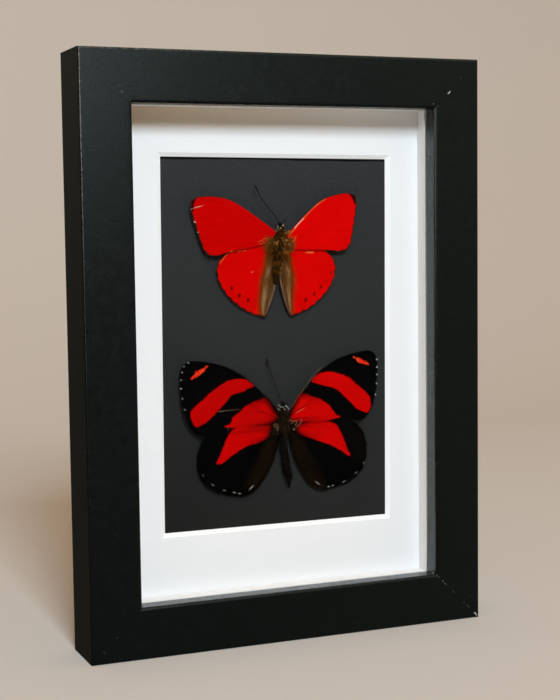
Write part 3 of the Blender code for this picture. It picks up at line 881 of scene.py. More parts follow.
def makeWing(name, shape, veins, wing, middle, marks):
    looks = wingLooks
    freshSelection()
    bpy.ops.mesh.primitive_grid_add(x_subdivisions=looks["stepsOut"], y_subdivisions=looks["stepsBack"],
                                    size=1)
    piece = bpy.context.active_object
    piece.name = name
    mesh = piece.data
    flat = np.empty(len(mesh.vertices) * 3, np.float32)
    mesh.vertices.foreach_get("co", flat)
    flat = flat.reshape(-1, 3)
    out, back = flat[:, 0] + 0.5, flat[:, 1] + 0.5
    sides = wingSides(shape)
    drawn = wingPlace(sides, out, back)
    veinLines = [wingPlace(sides, *softLine(vein, 24).T) for vein in veins]
    veinAway = np.min([distanceTo(drawn, line) for line in veinLines], axis=0)
    outline = np.vstack([sides[0], sides[1], sides[2][::-1]])
    edgeAway = distanceTo(drawn, outline)
    height = wingHeight(shape, wing, out, back, veinAway)
    placed = poseWing(drawn, middle, wing)
    for key, marking in marks.items():
        writeAttribute(piece, key, marksAt(placed, marking))
    writeAttribute(piece, "vein", veinAway)
    writeAttribute(piece, "edge", edgeAway)
    # painted shade: each wing's factor that dims its colour
    writeAttribute(piece, "lightLevel", np.full(len(flat), wing.get("lightLevel", 1.0)))
    # how far across the folded inner part a point is, and how far from the inner edge
    inward = distanceTo(drawn, sides[2])
    fold = np.clip(marksAt(placed, marks["fold"]), 0, None)
    writeAttribute(piece, "inward", inward)
    writeAttribute(piece, "across", fold / (fold + inward + 0.01))
    flat[:, 0] = (placed[:, 0] + shape["across"]) * mm
    flat[:, 1] = cardY - height * mm
    flat[:, 2] = placed[:, 1] * mm
    mesh.vertices.foreach_set("co", flat.ravel())
    mesh.update()
    finishModifier(piece, "SOLIDIFY", thickness=looks["thickness"] * mm, offset=0)
    smoothShade(piece, 50)
    # the outer margin and the inner edge, where the fringe grows
    rims, many, fewer = [], looks["marginHairs"], looks["innerHairs"]
    for outShare, backShare in ((np.ones(many), np.linspace(0, 1, many)),
                                (np.linspace(0.25, 1, fewer), np.ones(fewer))):
        line = poseWing(wingPlace(sides, outShare, backShare), middle, wing)
        rims.append((line, wingHeight(shape, wing, outShare, backShare, np.full(len(line), 0.5))))
    return piece, rims


class Scales(Finish):
    # wing scales: fine rows across the sheet, and marks by their distances on the points
    def __init__(self, name, rows, clouds):
        super().__init__(name, roughness=0.8, specular=0.0)
        self.place = self.spot()
        self.sheet = self.add("ShaderNodeUVMap")
        self.outward = self.parts(self.sheet)[0]
        self.rows = self.noise(self.stretch(self.sheet, rows), 1.0, 3.0, 0.6)
        self.grain = self.noise(self.place, 5.0, 2.0)
        self.cloud = self.noise(self.place, clouds, 2.0)
        self.vein = self.attribute("vein")

    def mark(self, name, wobble):
        return self.attribute(name) + (self.grain - 0.5) * wobble

    def streaks(self, amounts):
        return self.noise(self.stretch(self.place, amounts), 1.0, 4.0, 0.65)

    def mottle(self, deep, bright, alongVeins, veinColour):
        # cloudy, darker along the veins, and dimmed by painted shade on the wings that face away from the
        # light
        red = self.mix(self.cloud * 0.6 + self.rows * 0.4, deep, bright)
        red = self.mix(alongVeins, red, veinColour)
        return self.mix(self.attribute("lightLevel"), (0, 0, 0), red)

    def finished(self, coat):
        self.set(color=coat)
        self.bump(self.rows * 0.02 + self.grain * 0.01)
        return self.material


def scarletFinish():
    scale = Scales("scarletScales", (14.0, 130.0, 1.0), 0.12)
    grain, outward = scale.grain, scale.outward
    red = scale.mottle((0.46, 0.0006, 0.0005), (0.68, 0.0014, 0.0010), scale.vein.below(0.05, 0.25) * 0.12,
                       (0.30, 0.001, 0.001))
    wear = scale.noise(scale.stretch(scale.sheet, (10.0, 40.0, 1.0)), 1.0, 2.0)
    fold = scale.mark("fold", 0.5)
    hairy = scale.streaks((3.2, 1.0, 0.35))
    lower = outward.above(0.12, 0.45)
    across, inward = scale.attribute("across"), scale.attribute("inward")
    rust = (0.140, 0.022, 0.002)
    buff = scale.mix(lower, (0.080, 0.032, 0.005), (0.25, 0.135, 0.060))
    tan = scale.mix(across.above(0.0, 0.24), rust, buff)
    tan = scale.mix(across.above(0.36, 0.66), tan, (0.075, 0.034, 0.012))
    tan = scale.mix(across.above(0.70, 0.90), tan, (0.112, 0.072, 0.036))
    tan = scale.mix(inward.below(0.08, 0.40) * lower * grain.above(0.3, 0.6), tan, (0.27, 0.235, 0.17))
    tan = scale.mix(hairy.below(0.36, 0.62) * 0.5, tan, (0.030, 0.010, 0.002))
    coat = scale.mix(fold.above(-1.7, 0.3), red, rust)
    coat = scale.mix(fold.above(-0.1, 0.9), coat, tan)
    coat = scale.mix(scale.mark("dark", 0.25).above(-0.34, 0.20) * 0.88, coat, (0.026, 0.002, 0.001))
    coat = scale.mix(scale.mark("corner", 0.4).above(-0.5, 0.3), coat, (0.010, 0.002, 0.002))
    rim = scale.mark("edge", 0.16).below(0.06, 0.30) * (0.15 + outward.above(0.30, 0.85) * 0.65)
    coat = scale.mix(rim, coat, (0.055, 0.006, 0.003))
    # rubbed, paler scales, and a painted highlight along the right forewing's front edge, in orange
    wearAndHighlight = (scale.attribute("wearAndHighlight") + (wear - 0.5) * 0.7).above(-0.08, 0.25) * 0.75
    coat = scale.mix(wearAndHighlight, coat, (0.66, 0.13, 0.030))
    # the pale marks are white scales, and on the right forewing's front edge a painted highlight
    return scale.finished(scale.mix(scale.mark("pale", 0.3).above(-0.08, 0.06), coat, (0.70, 0.42, 0.36)))


def bandedFinish():
    scale = Scales("bandedScales", (16.0, 150.0, 1.0), 0.15)
    rows, vein = scale.rows, scale.vein
    black = scale.mix(rows, (0.0002, 0.0002, 0.0002), (0.0012, 0.0011, 0.0012))
    black = scale.mix(scale.attribute("brown").above(-2.5, 1.5) * 0.3, black, (0.0050, 0.0040, 0.0024))
    tan = scale.mix(scale.streaks((3.0, 1.0, 0.4)).above(0.3, 0.7), (0.0016, 0.0010, 0.0005),
                    (0.0075, 0.0042, 0.0018))
    ground = scale.mix(scale.mark("fold", 0.4).above(-1.4, 1.0), black, tan)
    red = scale.mottle((0.40, 0.0004, 0.0003), (0.58, 0.0008, 0.0005), vein.below(0.04, 0.22) * 0.18,
                       (0.22, 0.002, 0.001))
    feather = (rows - 0.5) * 0.55 + (scale.grain - 0.5) * 0.25
    feather = feather + (scale.noise(scale.place, 1.1, 2.0) - 0.5) * 0.9
    # the red is crisp outside, and fades and darkens along the veins towards the body
    inner = scale.outward.below(0.10, 0.50)
    bands = scale.attribute("red")
    red = scale.mix(vein.below(0.03, 0.26) * inner * 0.7, red, (0.03, 0.0010, 0.0008))
    crisp, soft = (bands + feather).above(-0.22, 0.20), (bands + feather * 0.6).above(-0.4, 2.4)
    coat = scale.mix(crisp * (1 - inner) + soft * inner, ground, red)
    wander = (scale.noise(scale.place, 0.8, 3.0) - 0.5) * 1.8
    streak = (scale.attribute("streak") + feather * 0.5 + wander).above(0.0, 0.30)
    orange = scale.mix(scale.noise(scale.place, 1.4, 2.0).above(0.45, 0.65), (0.56, 0.012, 0.005),
                       (0.72, 0.055, 0.014))
    coat = scale.mix(streak, coat, orange)
    return scale.finished(scale.mix(scale.mark("pale", 0.15).above(-0.06, 0.10), coat, (0.68, 0.66, 0.62)))


def hairFinish(name, dark, middle, pale):
    # tone 0 to 1 runs from dark to pale, and 2 is white
    hair = Finish(name, roughness=0.6, specular=0.03)
    tone, tip = hair.attribute("tone"), hair.attribute("tip")
    colour = hair.mix(tone.above(0.0, 0.5), dark, middle)
    colour = hair.mix(tone.above(0.5, 1.0), colour, pale)
    colour = hair.mix(tone.above(1.2, 1.8), colour, (0.86, 0.85, 0.80))
    shadow = tip.below(0.0, 0.5) * tone.below(1.0, 1.5) * 0.6   # darker towards the skin
    hair.set(color=hair.mix(shadow, colour, tuple(0.3 * c for c in middle)))
    return hair.material


# bodies and eyes: blobs are (across, along, height, half width, half height, half length)
def addBlobs(name, blobs, middle):
    parts = []
    for across, along, height, wide, high, long in blobs:
        freshSelection()
        bpy.ops.mesh.primitive_uv_sphere_add(segments=24, ring_count=16, radius=mm, location=(
            (middle[0] + across) * mm, cardY - height * mm, (middle[1] + along) * mm))
        part = bpy.context.active_object
        part.scale = (wide, high, long)
        parts.append(bake(part))
    return joinPieces(name, parts)


def makeBody(name, looks, middle):
    # the blobs are fused into one skin and smoothed
    body = addBlobs(name, looks["blobs"], middle)
    finishModifier(body, "REMESH", mode="VOXEL", voxel_size=looks["voxel"] * mm)
    finishModifier(body, "SMOOTH", factor=0.5, iterations=9)
    smoothShade(body, 80)
    return body


def bodyFinish(name, dark, pale, headStart):
    # short fur, darker on the head
    coat = Finish(name, roughness=0.8, specular=0.03)
    spot = coat.spot()
    z = coat.parts(spot)[2]
    streaks = coat.noise(coat.stretch(spot, (4.0, 3.0, 0.8)), 1.2, 4.0, 0.65)
    fur = coat.mix(streaks.above(0.35, 0.7) * 0.8, dark, pale)
    coat.set(color=coat.mix(z.above(headStart, headStart + 0.8), fur, tuple(0.6 * c for c in dark)))
    coat.bump(streaks * 0.12)
    return coat.material


def eyeFinish(name, colour):
    eye = Finish(name, roughness=0.22, ior=1.5)
    facets = eye.add("ShaderNodeTexVoronoi", {"feature": "F1"}, {"Vector": eye.spot(), "Scale": 16.0})
    eye.set(color=eye.mix(facets.above(0.0, 0.5), colour, tuple(0.5 * c for c in colour)))
    eye.bump(facets * -0.02)
    return eye.material


def makeFeeler(name, routes, middle, thickness, club=1):
    # a fine tube for each antenna, swelling to a slim club; routes are across, along, height
    parts = []
    for route, withClub in routes:
        path = softLine(route, 46)
        curve = bpy.data.curves.new(name, "CURVE")
        curve.dimensions = "3D"
        curve.bevel_depth = thickness * mm
        curve.bevel_resolution = 3
        curve.use_fill_caps = True
        spline = curve.splines.new("POLY")
        spline.points.add(len(path) - 1)
        share = np.linspace(0, 1, len(path))
        swell = np.clip((share - 0.78) / 0.16, 0, 1) ** 1.5 * np.clip((1 - share) / 0.04, 0.25, 1)
        swell = 1 + (club - 1) * swell
        joints = 1 + 0.12 * np.cos(share * math.pi * 46)
        for point, place, radius, joint in zip(spline.points, path, swell, joints):
            point.co = ((middle[0] + place[0]) * mm, cardY - place[2] * mm, (middle[1] + place[1]) * mm, 1)
            point.radius = (radius if withClub else 1) * joint
        pick(addObject(name, curve))
        bpy.ops.object.convert(target="MESH")
        parts.append(bpy.context.active_object)
    feeler = joinPieces(name, parts)
    faceOut(feeler)
    smoothShade(feeler, 60)
    return feeler


# radius and bend of each kind of hair; radius of curls and antennae; the club's swell; the fringe
hairLooks = dict(fringe=(0.035, 0.12), hairs=(0.036, 0.22), locks=(0.065, 0.25), threads=(0.045, 0.06),
                 curl=0.036, feeler=0.115, club=2.3, fringeLength=(0.30, 0.55), fringeInset=0.12)


# each hair group is roots, directions, lengths and tones
def bodyHairs(looks, middle, chance):
    # hair roots scattered over the blobs' front halves; the hairs lean together in locks of one tone
    for (across, along, height, wide, high, long), (count, low, top, back, lay, toneLow, toneHigh) in looks:
        way = chance.normal(size=(count, 3))
        way[:, 1] = -np.abs(way[:, 1]) - 0.15
        way = unit(way)
        root = np.array([middle[0] + across, -height, middle[1] + along]) + way * [wide, high, long] * 0.97
        normal = unit(way / [wide, high, long])
        heads = max(count // 13, 3)
        nearest = np.argmax(way @ way[:heads].T, axis=1)
        shade = toneLow + (toneHigh - toneLow) * chance.uniform(0, 1, heads) ** 1.7
        combed = normal * (1 - lay) + np.array([0, 0, back]) * lay + (root[nearest] - root) * 0.7
        together = chance.normal(size=(heads, 3))[nearest] * 0.25
        yield (root, combed + together + chance.normal(size=(count, 3)) * 0.10,
               chance.uniform(low, top, count), shade[nearest] + chance.normal(0, 0.06, count))


def tuftHairs(tufts, chance):
    # tufts: count, (x, z, height) of the root, spread, direction, length range, tone range
    for count, root, spread, way, (low, top), (toneLow, toneHigh) in tufts:
        scatter = chance.normal(size=(count, 3)) * [spread, 0.12, spread]
        yield (np.array([root[0], -root[2], root[1]]) + scatter,
               np.array([way[0], -way[2], way[1]]) + chance.normal(size=(count, 3)) * 0.25,
               chance.uniform(low, top, count), chance.uniform(toneLow, toneHigh, count))


def growHairs(name, groups, kind, chance):
    radius, bend = hairLooks[kind]
    roots, towards, lengths, tones = (np.concatenate(parts) for parts in zip(*groups))
    places = roots * mm
    places[:, 1] += cardY
    count = len(roots)
    bends = chance.normal(size=(count, 3)) * bend
    bends[:, 1] += 0.5 * bend
    radii = chance.uniform(0.7, 1.2, count) * radius * mm
    return copyHairs(name, places, towards, bends, lengths * mm, radii, tones)


def fringeHairs(rims, across, whites, chance):
    # short scales that stick out past the wing edges; white where the pale marks reach the edge
    for line, height in rims:
        along, out = directions(line)
        middle = line.mean(axis=0)
        if np.sum((line - middle) * out) < 0:
            out = -out
        count = len(line)
        lean = along * chance.normal(0, 0.25, count)[:, None]
        root = np.stack([line[:, 0] + across, -height, line[:, 1]], 1)
        root[:, [0, 2]] -= out * hairLooks["fringeInset"]
        way = out + lean
        yield (root, np.stack([way[:, 0], chance.normal(0, 0.12, count), way[:, 1]], 1),
               chance.uniform(*hairLooks["fringeLength"], count),
               np.where(marksAt(line, whites) > 0.0, 1.0, chance.uniform(0, 0.25, count)))


def fibres(lines):
    # single threads and flakes from one place to another: x1, z1, x2, z2, height, tone
    lines = np.array(lines, float)
    roots = np.stack([lines[:, 0], -lines[:, 4], lines[:, 1]], 1)
    ways = np.stack([lines[:, 2] - lines[:, 0], np.zeros(len(lines)), lines[:, 3] - lines[:, 1]], 1)
    return roots, ways, np.linalg.norm(ways, axis=1), lines[:, 5]


# the scarlet butterfly above
scarletMiddle = (0.0, 120.5)
# a wing's factor under 1 dims its colour as painted shade
scarletWings = dict(
    ForewingRight=dict(shape=broadForewing, side=1),
    ForewingLeft=dict(shape=broadForewing, side=-1, turn=8.5, size=1.02, shift=(1.4, 2.5), lift=(0.35, 0.1),
                      lightLevel=0.80),
    HindwingRight=dict(shape=taperedHindwing, side=1, lightLevel=0.98),
    HindwingLeft=dict(shape=taperedHindwing, side=-1, lightLevel=0.93),
)
scarletMarks = dict(
    fold=[patch((0.5, 118), (3.2, 116.5), (4.6, 112), (4.9, 106), (4.7, 101), (4.2, 98.6), (0, 98),
                (-1, 108)),
          patch((-1, 118), (-3.2, 116.5), (-4.9, 111), (-5.6, 106), (-5.6, 101), (-4.8, 98.8), (0, 98),
                (1, 108))],
    dark=[stroke(0.32, (-15, 107.8), (-15.1, 107.3)), stroke(0.36, (-12.5, 105.4), (-12.6, 105.0)),
          stroke(0.38, (-9.7, 103.9), (-9.8, 103.5)), stroke(0.28, (17.9, 111.4)),
          stroke(0.24, (16.5, 108.9)), stroke(0.32, (14.6, 107.3), (14.5, 106.9)),
          stroke(0.32, (12.4, 105.2), (12.2, 104.8)), stroke(0.36, (9.5, 103.5), (9.3, 103.0))],
    corner=[patch((24.2, 136.2), (25.4, 134.6), (26.6, 132.4), (28.4, 132.5), (28, 137)),
            patch((-25.6, 135.6), (-26.3, 134.1), (-26.8, 132.6), (-27.1, 130.8), (-29, 130.5),
                  (-29, 136.5), (-25.6, 136.5))],
    # the first stroke, along the right forewing's front edge, is a painted highlight; the others are rubbed,
    # paler scales
    wearAndHighlight=[stroke(0.22, (3.6, 123.0), (6.5, 126.0), (9.5, 129.1), (13.0, 132.2), (16.5, 134.5)),
          stroke(0.14, (-18.6, 115.0), (-17.2, 117.0), (-14.6, 118.9)),
          stroke(0.30, (9.3, 117.8), (11.8, 117.8)), stroke(0.22, (-13, 118.6), (-10.5, 118.8)),
          stroke(0.2, (5.4, 121.3), (6.0, 122.6))],
    pale=[stroke(0.06, (-27.6, 131.4), (-25.6, 132.0), (-23.8, 132.4)),
          stroke(0.10, (-26.6, 127.8), (-26.2, 127.4)), stroke(0.12, (-25.4, 124.6)),
          stroke(0.10, (-25.0, 121.7), (-24.8, 121.3)), stroke(0.14, (-23.6, 118.9), (-23.2, 118.4)),
          stroke(0.14, (26.7, 125.5)), stroke(0.14, (26.3, 123.0)),
          # painted highlight on the right forewing's front edge
          stroke(0.10, (5.6, 125.4), (6.8, 126.6), (8.6, 128.3))],
)
scarletBody = dict(
    voxel=0.13,
    blobs=[(0.9, 5.0, 3.0, 1.2, 1.0, 1.0), (0.7, 3.7, 3.0, 1.55, 1.25, 1.0),
           (0.45, 1.3, 2.9, 2.35, 1.8, 2.6), (0.3, -1.6, 2.8, 1.85, 1.6, 1.9),
           (0.1, -3.6, 2.5, 1.40, 1.35, 1.1), (0.0, -5.0, 2.4, 1.45, 1.4, 1.0),
           (-0.1, -6.4, 2.3, 1.50, 1.4, 1.0), (-0.25, -7.8, 2.2, 1.42, 1.35, 1.0),
           (-0.4, -9.2, 2.1, 1.25, 1.2, 0.95), (-0.5, -10.5, 2.0, 1.0, 1.0, 0.9),
           (-0.6, -11.7, 1.9, 0.65, 0.7, 0.8), (0.6, 6.2, 2.6, 0.26, 0.3, 0.7),
           (1.2, 6.2, 2.6, 0.26, 0.3, 0.7)],
    eyes=[(0.0, 5.2, 3.1, 0.62, 0.62, 0.75), (1.8, 5.2, 3.1, 0.62, 0.62, 0.75)],
    feelers=[([(0.5, 6.2, 3.3), (-1.2, 8.8, 3.7), (-3.0, 11.0, 3.5), (-5.5, 14.5, 3.0), (-7.0, 18.0, 2.4)],
              True), ([(1.3, 6.0, 3.4), (1.7, 6.8, 3.8), (2.0, 7.4, 4.0)], False)],
    hairs=[((0.45, 1.3, 2.9, 2.35, 1.8, 2.6), (1000, 0.8, 1.9, -1.0, 0.5, 0.0, 0.95)),
           ((0.3, -1.6, 2.8, 1.85, 1.6, 1.9), (520, 1.0, 2.2, -1.0, 0.6, 0.0, 0.9)),
           ((0.7, 3.7, 3.0, 1.45, 1.25, 1.0), (260, 0.6, 1.3, -0.6, 0.4, 0.2, 0.8)),
           ((0.9, 5.0, 3.0, 1.2, 1.0, 1.0), (90, 0.3, 0.6, 0.6, 0.4, 0.0, 0.25)),
           ((0.0, -5.0, 2.4, 1.45, 1.4, 1.0), (320, 0.9, 2.2, -1.0, 0.75, 0.1, 0.9)),
           ((-0.25, -7.8, 2.2, 1.42, 1.35, 1.0), (260, 0.7, 1.5, -1.0, 0.8, 0.0, 0.75)),
           ((-0.5, -10.5, 2.0, 1.0, 1.0, 0.9), (120, 0.4, 0.9, -1.0, 0.85, 0.0, 0.4))],
    locks=[((0.45, 1.3, 3.0, 2.25, 1.9, 2.6), (110, 0.7, 1.5, -1.0, 0.5, 0.0, 0.95)),
           ((0.3, -1.6, 2.9, 1.95, 1.7, 1.9), (60, 0.8, 1.6, -1.0, 0.65, 0.0, 0.9)),
           ((0.9, 4.2, 3.0, 1.3, 1.1, 1.0), (20, 0.4, 0.8, 0.3, 0.4, 0.1, 1.0))],
    flakes=[(5, (-0.6, 124.7, 3.5), 0.16, (-0.6, 0.3, 0.8), (0.3, 0.5), (2.0, 2.0)),
            (3, (-0.2, 125.4, 3.7), 0.12, (-0.4, 0.6, 0.8), (0.3, 0.5), (2.0, 2.0)),
            (4, (0.7, 125.3, 4.1), 0.12, (-0.6, 0.5, 0.6), (0.3, 0.5), (1.6, 1.8)),
            (5, (1.4, 126.2, 3.9), 0.16, (0.2, 0.8, 0.6), (0.3, 0.5), (1.5, 1.8)),
            (5, (2.3, 121.7, 4.5), 0.10, (0.4, 0.6, 0.8), (0.2, 0.4), (1.4, 1.8)),
            (5, (3.3, 120.4, 4.3), 0.10, (0.6, 0.2, 0.8), (0.2, 0.4), (1.4, 1.8)),
            (4, (3.2, 119.1, 4.0), 0.10, (0.6, 0.0, 0.8), (0.2, 0.4), (1.2, 1.6)),
            (4, (-1.6, 121.5, 4.4), 0.12, (-0.6, 0.4, 0.6), (0.3, 0.5), (1.0, 1.4)),
            (4, (-2.6, 119.9, 4.2), 0.12, (-0.6, 0.0, 0.6), (0.3, 0.5), (1.0, 1.4)),
            (5, (3.2, 124.3, 3.9), 0.14, (0.2, 1.0, 0.5), (0.4, 0.7), (1.0, 1.2))],
    curls=[[(-6.7, 0.7, 3.75), (-5.8, 1.2, 4.0), (-5.0, 0.8, 3.9)],
           [(-6.3, 0.2, 3.7), (-5.4, 0.4, 3.9), (-4.5, 0.8, 3.9)],
           [(-5.3, 1.4, 3.8), (-4.8, 1.9, 4.0), (-4.2, 1.8, 3.9)],
           [(-4.4, 0.1, 3.9), (-3.6, 0.5, 4.2), (-3.0, 0.3, 4.2)],
           [(4.0, 1.0, 4.0), (4.8, 0.7, 4.1), (5.4, 0.2, 3.8)],
           [(2.9, -0.8, 3.9), (3.5, -1.1, 3.9), (3.6, -1.9, 3.6)]],
    tufts=[(60, (3.2, 123.9, 3.9), 0.30, (0.2, 1.0, 0.5), (0.6, 1.2), (0.55, 0.85)),
           (100, (-2.4, 121.6, 4.1), 0.45, (-1.0, 0.35, 0.15), (1.0, 2.6), (0.1, 0.95)),
           (100, (-2.7, 120.3, 4.1), 0.45, (-1.0, 0.0, 0.15), (1.2, 3.0), (0.1, 0.9)),
           (100, (-2.6, 119.1, 3.9), 0.45, (-1.0, -0.35, 0.15), (1.0, 2.6), (0.1, 0.8)),
           (100, (3.0, 121.6, 4.1), 0.45, (1.0, 0.35, 0.15), (0.9, 2.2), (0.1, 0.95)),
           (100, (3.2, 120.3, 4.1), 0.45, (1.0, 0.0, 0.15), (1.0, 2.6), (0.1, 0.9)),
           (100, (3.0, 119.1, 3.9), 0.45, (1.0, -0.35, 0.15), (0.9, 2.2), (0.1, 0.8)),
           (90, (-2.6, 117.0, 3.2), 0.7, (-0.5, -1.0, 0.1), (1.4, 2.8), (0.2, 0.8)),
           (90, (2.8, 117.0, 3.2), 0.7, (0.5, -1.0, 0.1), (1.4, 2.8), (0.2, 0.8)),
           (130, (-3.6, 110.5, 2.2), 1.4, (-0.1, -1.0, 0.05), (1.6, 3.0), (0.3, 0.85)),
           (130, (3.4, 110.5, 2.2), 1.2, (0.1, -1.0, 0.05), (1.6, 3.0), (0.3, 0.85)),
           (30, (2.0, 126.6, 3.6), 0.16, (0.3, 0.8, 0.4), (0.2, 0.4), (0.3, 0.5))],
    threads=[(-27.4, 131.5, -23.8, 132.4, 3.25, 1.0), (-8.4, 112.1, -7.8, 112.5, 2.35, 1.6),
             (4.6, 122.0, 6.0, 123.4, 3.75, 0.9), (4.1, 129.6, 4.5, 129.8, 0.12, 1.0),
             (9.5, 136.3, 9.8, 136.5, 0.12, 0.5), (10.9, 138.4, 11.3, 138.6, 0.12, 0.0)],
)


def makeButterfly(name, looks):
    middle, body, slot = looks["middle"], looks["body"], looks["hairSlot"]
    chance = np.random.default_rng(looks["seed"])
    scales = looks["wingFinish"]()
    fringe = []
    for part, wing in looks["wings"].items():
        fore = part.startswith("Fore")
        veins = foreVeins if fore else hindVeins
        piece, rims = makeWing(name + part, wing["shape"], veins, wing, middle, looks["marks"])
        words = part.replace("Right", "_right").replace("Left", "_left").lower()
        place(piece, scales, looks["wingSlot"], looks["node"] + "_" + words)
        rims = rims[:1] if fore else rims
        fringe += fringeHairs(rims, wing["shape"]["across"], looks["marks"]["pale"], chance)
    edges = growHairs(name + "Fringe", fringe, "fringe", chance)
    place(edges, looks["fringeFinish"], looks["wingSlot"])
    place(makeBody(name + "Body", body, middle), looks["bodyFinish"], slot, looks["node"] + "_body")
    eyes = addBlobs(name + "Eyes", body["eyes"], middle)
    smoothShade(eyes, 80)
    place(eyes, looks["eyeFinish"], slot)
    feeler = makeFeeler(name + "Antennae", body["feelers"], middle, hairLooks["feeler"], hairLooks["club"])
    place(feeler, looks["feelerFinish"], "antenna", looks["node"] + "_antenna")
    groups = [*bodyHairs(body["hairs"], middle, chance), *tuftHairs(body["tufts"], chance)]
    place(growHairs(name + "Hairs", groups, "hairs", chance), looks["hairFinish"], slot)
    groups = [*bodyHairs(body["locks"], middle, chance), *tuftHairs(body["flakes"], chance)]
    place(growHairs(name + "Locks", groups, "locks", chance), looks["hairFinish"], slot)
    curls = [(curl, False) for curl in body["curls"]]
    curls = makeFeeler(name + "Curls", curls, middle, hairLooks["curl"])
    writeAttribute(curls, "tone", np.full(len(curls.data.vertices), 0.9))
    writeAttribute(curls, "tip", np.ones(len(curls.data.vertices)))
    place(curls, looks["hairFinish"], slot)
    threads = growHairs(name + "Threads", [fibres(body["threads"])], "threads", chance)
    place(threads, looks["hairFinish"], slot)
    print(name, "done")


feelerFinish = bodyFinish("darkFeeler", (0.003, 0.0025, 0.002), (0.011, 0.009, 0.008), 200.0)
makeButterfly("scarlet", dict(
    middle=scarletMiddle, seed=11, node="upper_butterfly", wings=scarletWings, marks=scarletMarks,
    wingFinish=scarletFinish, wingSlot="red_wing", hairSlot="golden_hair", body=scarletBody,
    fringeFinish=hairFinish("scarletFringe", (0.05, 0.008, 0.004), (0.10, 0.03, 0.015), (0.75, 0.70, 0.62)),
    bodyFinish=bodyFinish("goldenBody", (0.0060, 0.0024, 0.0006), (0.040, 0.017, 0.003), 124.0),
    eyeFinish=eyeFinish("oliveEye", (0.030, 0.034, 0.008)),
    hairFinish=hairFinish("goldenHair", (0.008, 0.0028, 0.0004), (0.135, 0.047, 0.0035), (0.5, 0.23, 0.045)),
    feelerFinish=feelerFinish,
))

# the banded butterfly below
bandedMiddle = (1.1, 66.0)
# a wing's factor under 1 dims its colour as painted shade
bandedWings = dict(
    ForewingRight=dict(shape=longForewing, side=1),
    ForewingLeft=dict(shape=longForewing, side=-1, turn=0.4, size=1.045, shift=(1.25, -1.4), lightLevel=0.85),
    HindwingRight=dict(shape=roundHindwing, side=1),
    HindwingLeft=dict(shape=roundHindwing, side=-1, turn=-3.1, size=0.985, shift=(0.9, -1.2), lightLevel=0.93),
)
bandedMarks = dict(
    red=[patch((11, 78.2), (12.5, 79.7), (15, 80.6), (18, 80.5), (21, 79.7), (24, 78.3), (27, 75.8),
               (29.5, 73.7), (31, 72), (31.4, 70), (31, 68), (30.2, 67.1), (28, 67.8), (25.5, 69.5),
               (23, 72), (21, 73.8), (19, 75.3), (16, 76.3), (12, 77.4)),
         patch((-9.5, 78.5), (-11, 79.6), (-14, 79.9), (-17, 79.3), (-20, 77.8), (-23, 75.7), (-26, 73.2),
               (-28.3, 71.3), (-28.7, 69.5), (-28, 67.3), (-27, 66.2), (-25.5, 66.5), (-23.5, 67.5),
               (-21, 69.8), (-18.5, 72), (-16, 74.8), (-12.5, 76), (-8.5, 77.6)),
         patch((3.2, 68), (4.5, 71), (6.3, 73.8), (8.3, 74.3), (10.5, 73.5), (13.5, 72.3), (16, 70.7),
               (18, 68.8), (19, 67.2), (20.5, 66.3), (17, 65.5), (12, 65.2), (7, 65.2), (3.5, 65.8)),
         patch((-0.5, 67.5), (-2, 70.5), (-3.8, 73), (-5.3, 73.6), (-7.5, 73), (-10.5, 71.8), (-13, 70),
               (-15.3, 68.3), (-16, 66.5), (-18, 65.6), (-12, 64.8), (-4, 65.2)),
         patch((6, 64.8), (12, 65.6), (16.5, 64.9), (19, 63.9), (20.5, 61.8), (22, 58.5), (23.2, 55.5),
               (24, 53.9), (23, 54), (20, 56), (16.5, 57.8), (12, 59.5), (8, 61), (6, 62.2)),
         patch((-3, 65.4), (-9, 65.6), (-14.5, 64.8), (-16.5, 63.2), (-18.2, 60), (-19.5, 57),
               (-20.8, 54.3), (-18.7, 54.5), (-15, 57), (-10.5, 59.2), (-6, 60.2), (-3.5, 62))],
    streak=[patch((-28.3, 80.6), (-27.6, 82.2), (-26, 83.4), (-24, 84.3), (-23.0, 84.5), (-23.6, 83.2),
                  (-25.2, 82.0), (-27, 81.0)),
            patch((25.3, 85.0), (27, 84.7), (29, 84.0), (30.5, 82.8), (31.0, 81.8), (29.4, 82.2),
                  (27.4, 82.9), (26, 83.9))],
    fold=[patch((4, 62), (6.5, 60), (10, 54.5), (13.5, 49), (15.6, 44.5), (12, 44), (8, 50), (4.5, 57)),
          patch((-1.5, 62), (-4.0, 60), (-7.5, 54), (-10.5, 48.5), (-9.5, 46), (-5, 50), (-2.5, 55))],
    brown=[patch((20.5, 66), (24, 64.5), (28, 59), (29, 53), (26.5, 54), (23.5, 60), (19, 64))],
    pale=[stroke(0.21, spot) for spot in (
        (-29.2, 85.6), (-30.6, 84.5), (-31.2, 82.8), (-31.5, 80.5), (-31.5, 77.9), (-31.2, 74.9),
        (-30.5, 71.5), (33, 85.5), (33.5, 83.7), (33.6, 81.3), (33.5, 79), (33.4, 76.1), (33, 72.6))]
    + [stroke(0.09, *line) for line in (
        [(-25.2, 51.2), (-24.9, 50.6)], [(-22.5, 48.1), (-21.7, 47.6)], [(-18.8, 46.0), (-18.0, 45.8)],
        [(-15.3, 44.9), (-14.6, 44.8)], [(-13.6, 44.4), (-12.9, 44.4)], [(-10.2, 45.3), (-8.8, 46.6)],
        [(28.6, 50.5), (29.0, 51.2)], [(25.7, 47.6), (26.5, 48.2)], [(21.5, 45.2), (22.4, 45.7)],
        [(18.0, 44.3), (18.6, 44.5)], [(16.5, 44.1), (17.1, 44.2)], [(12.1, 46.3), (13.6, 45.0)])],
)
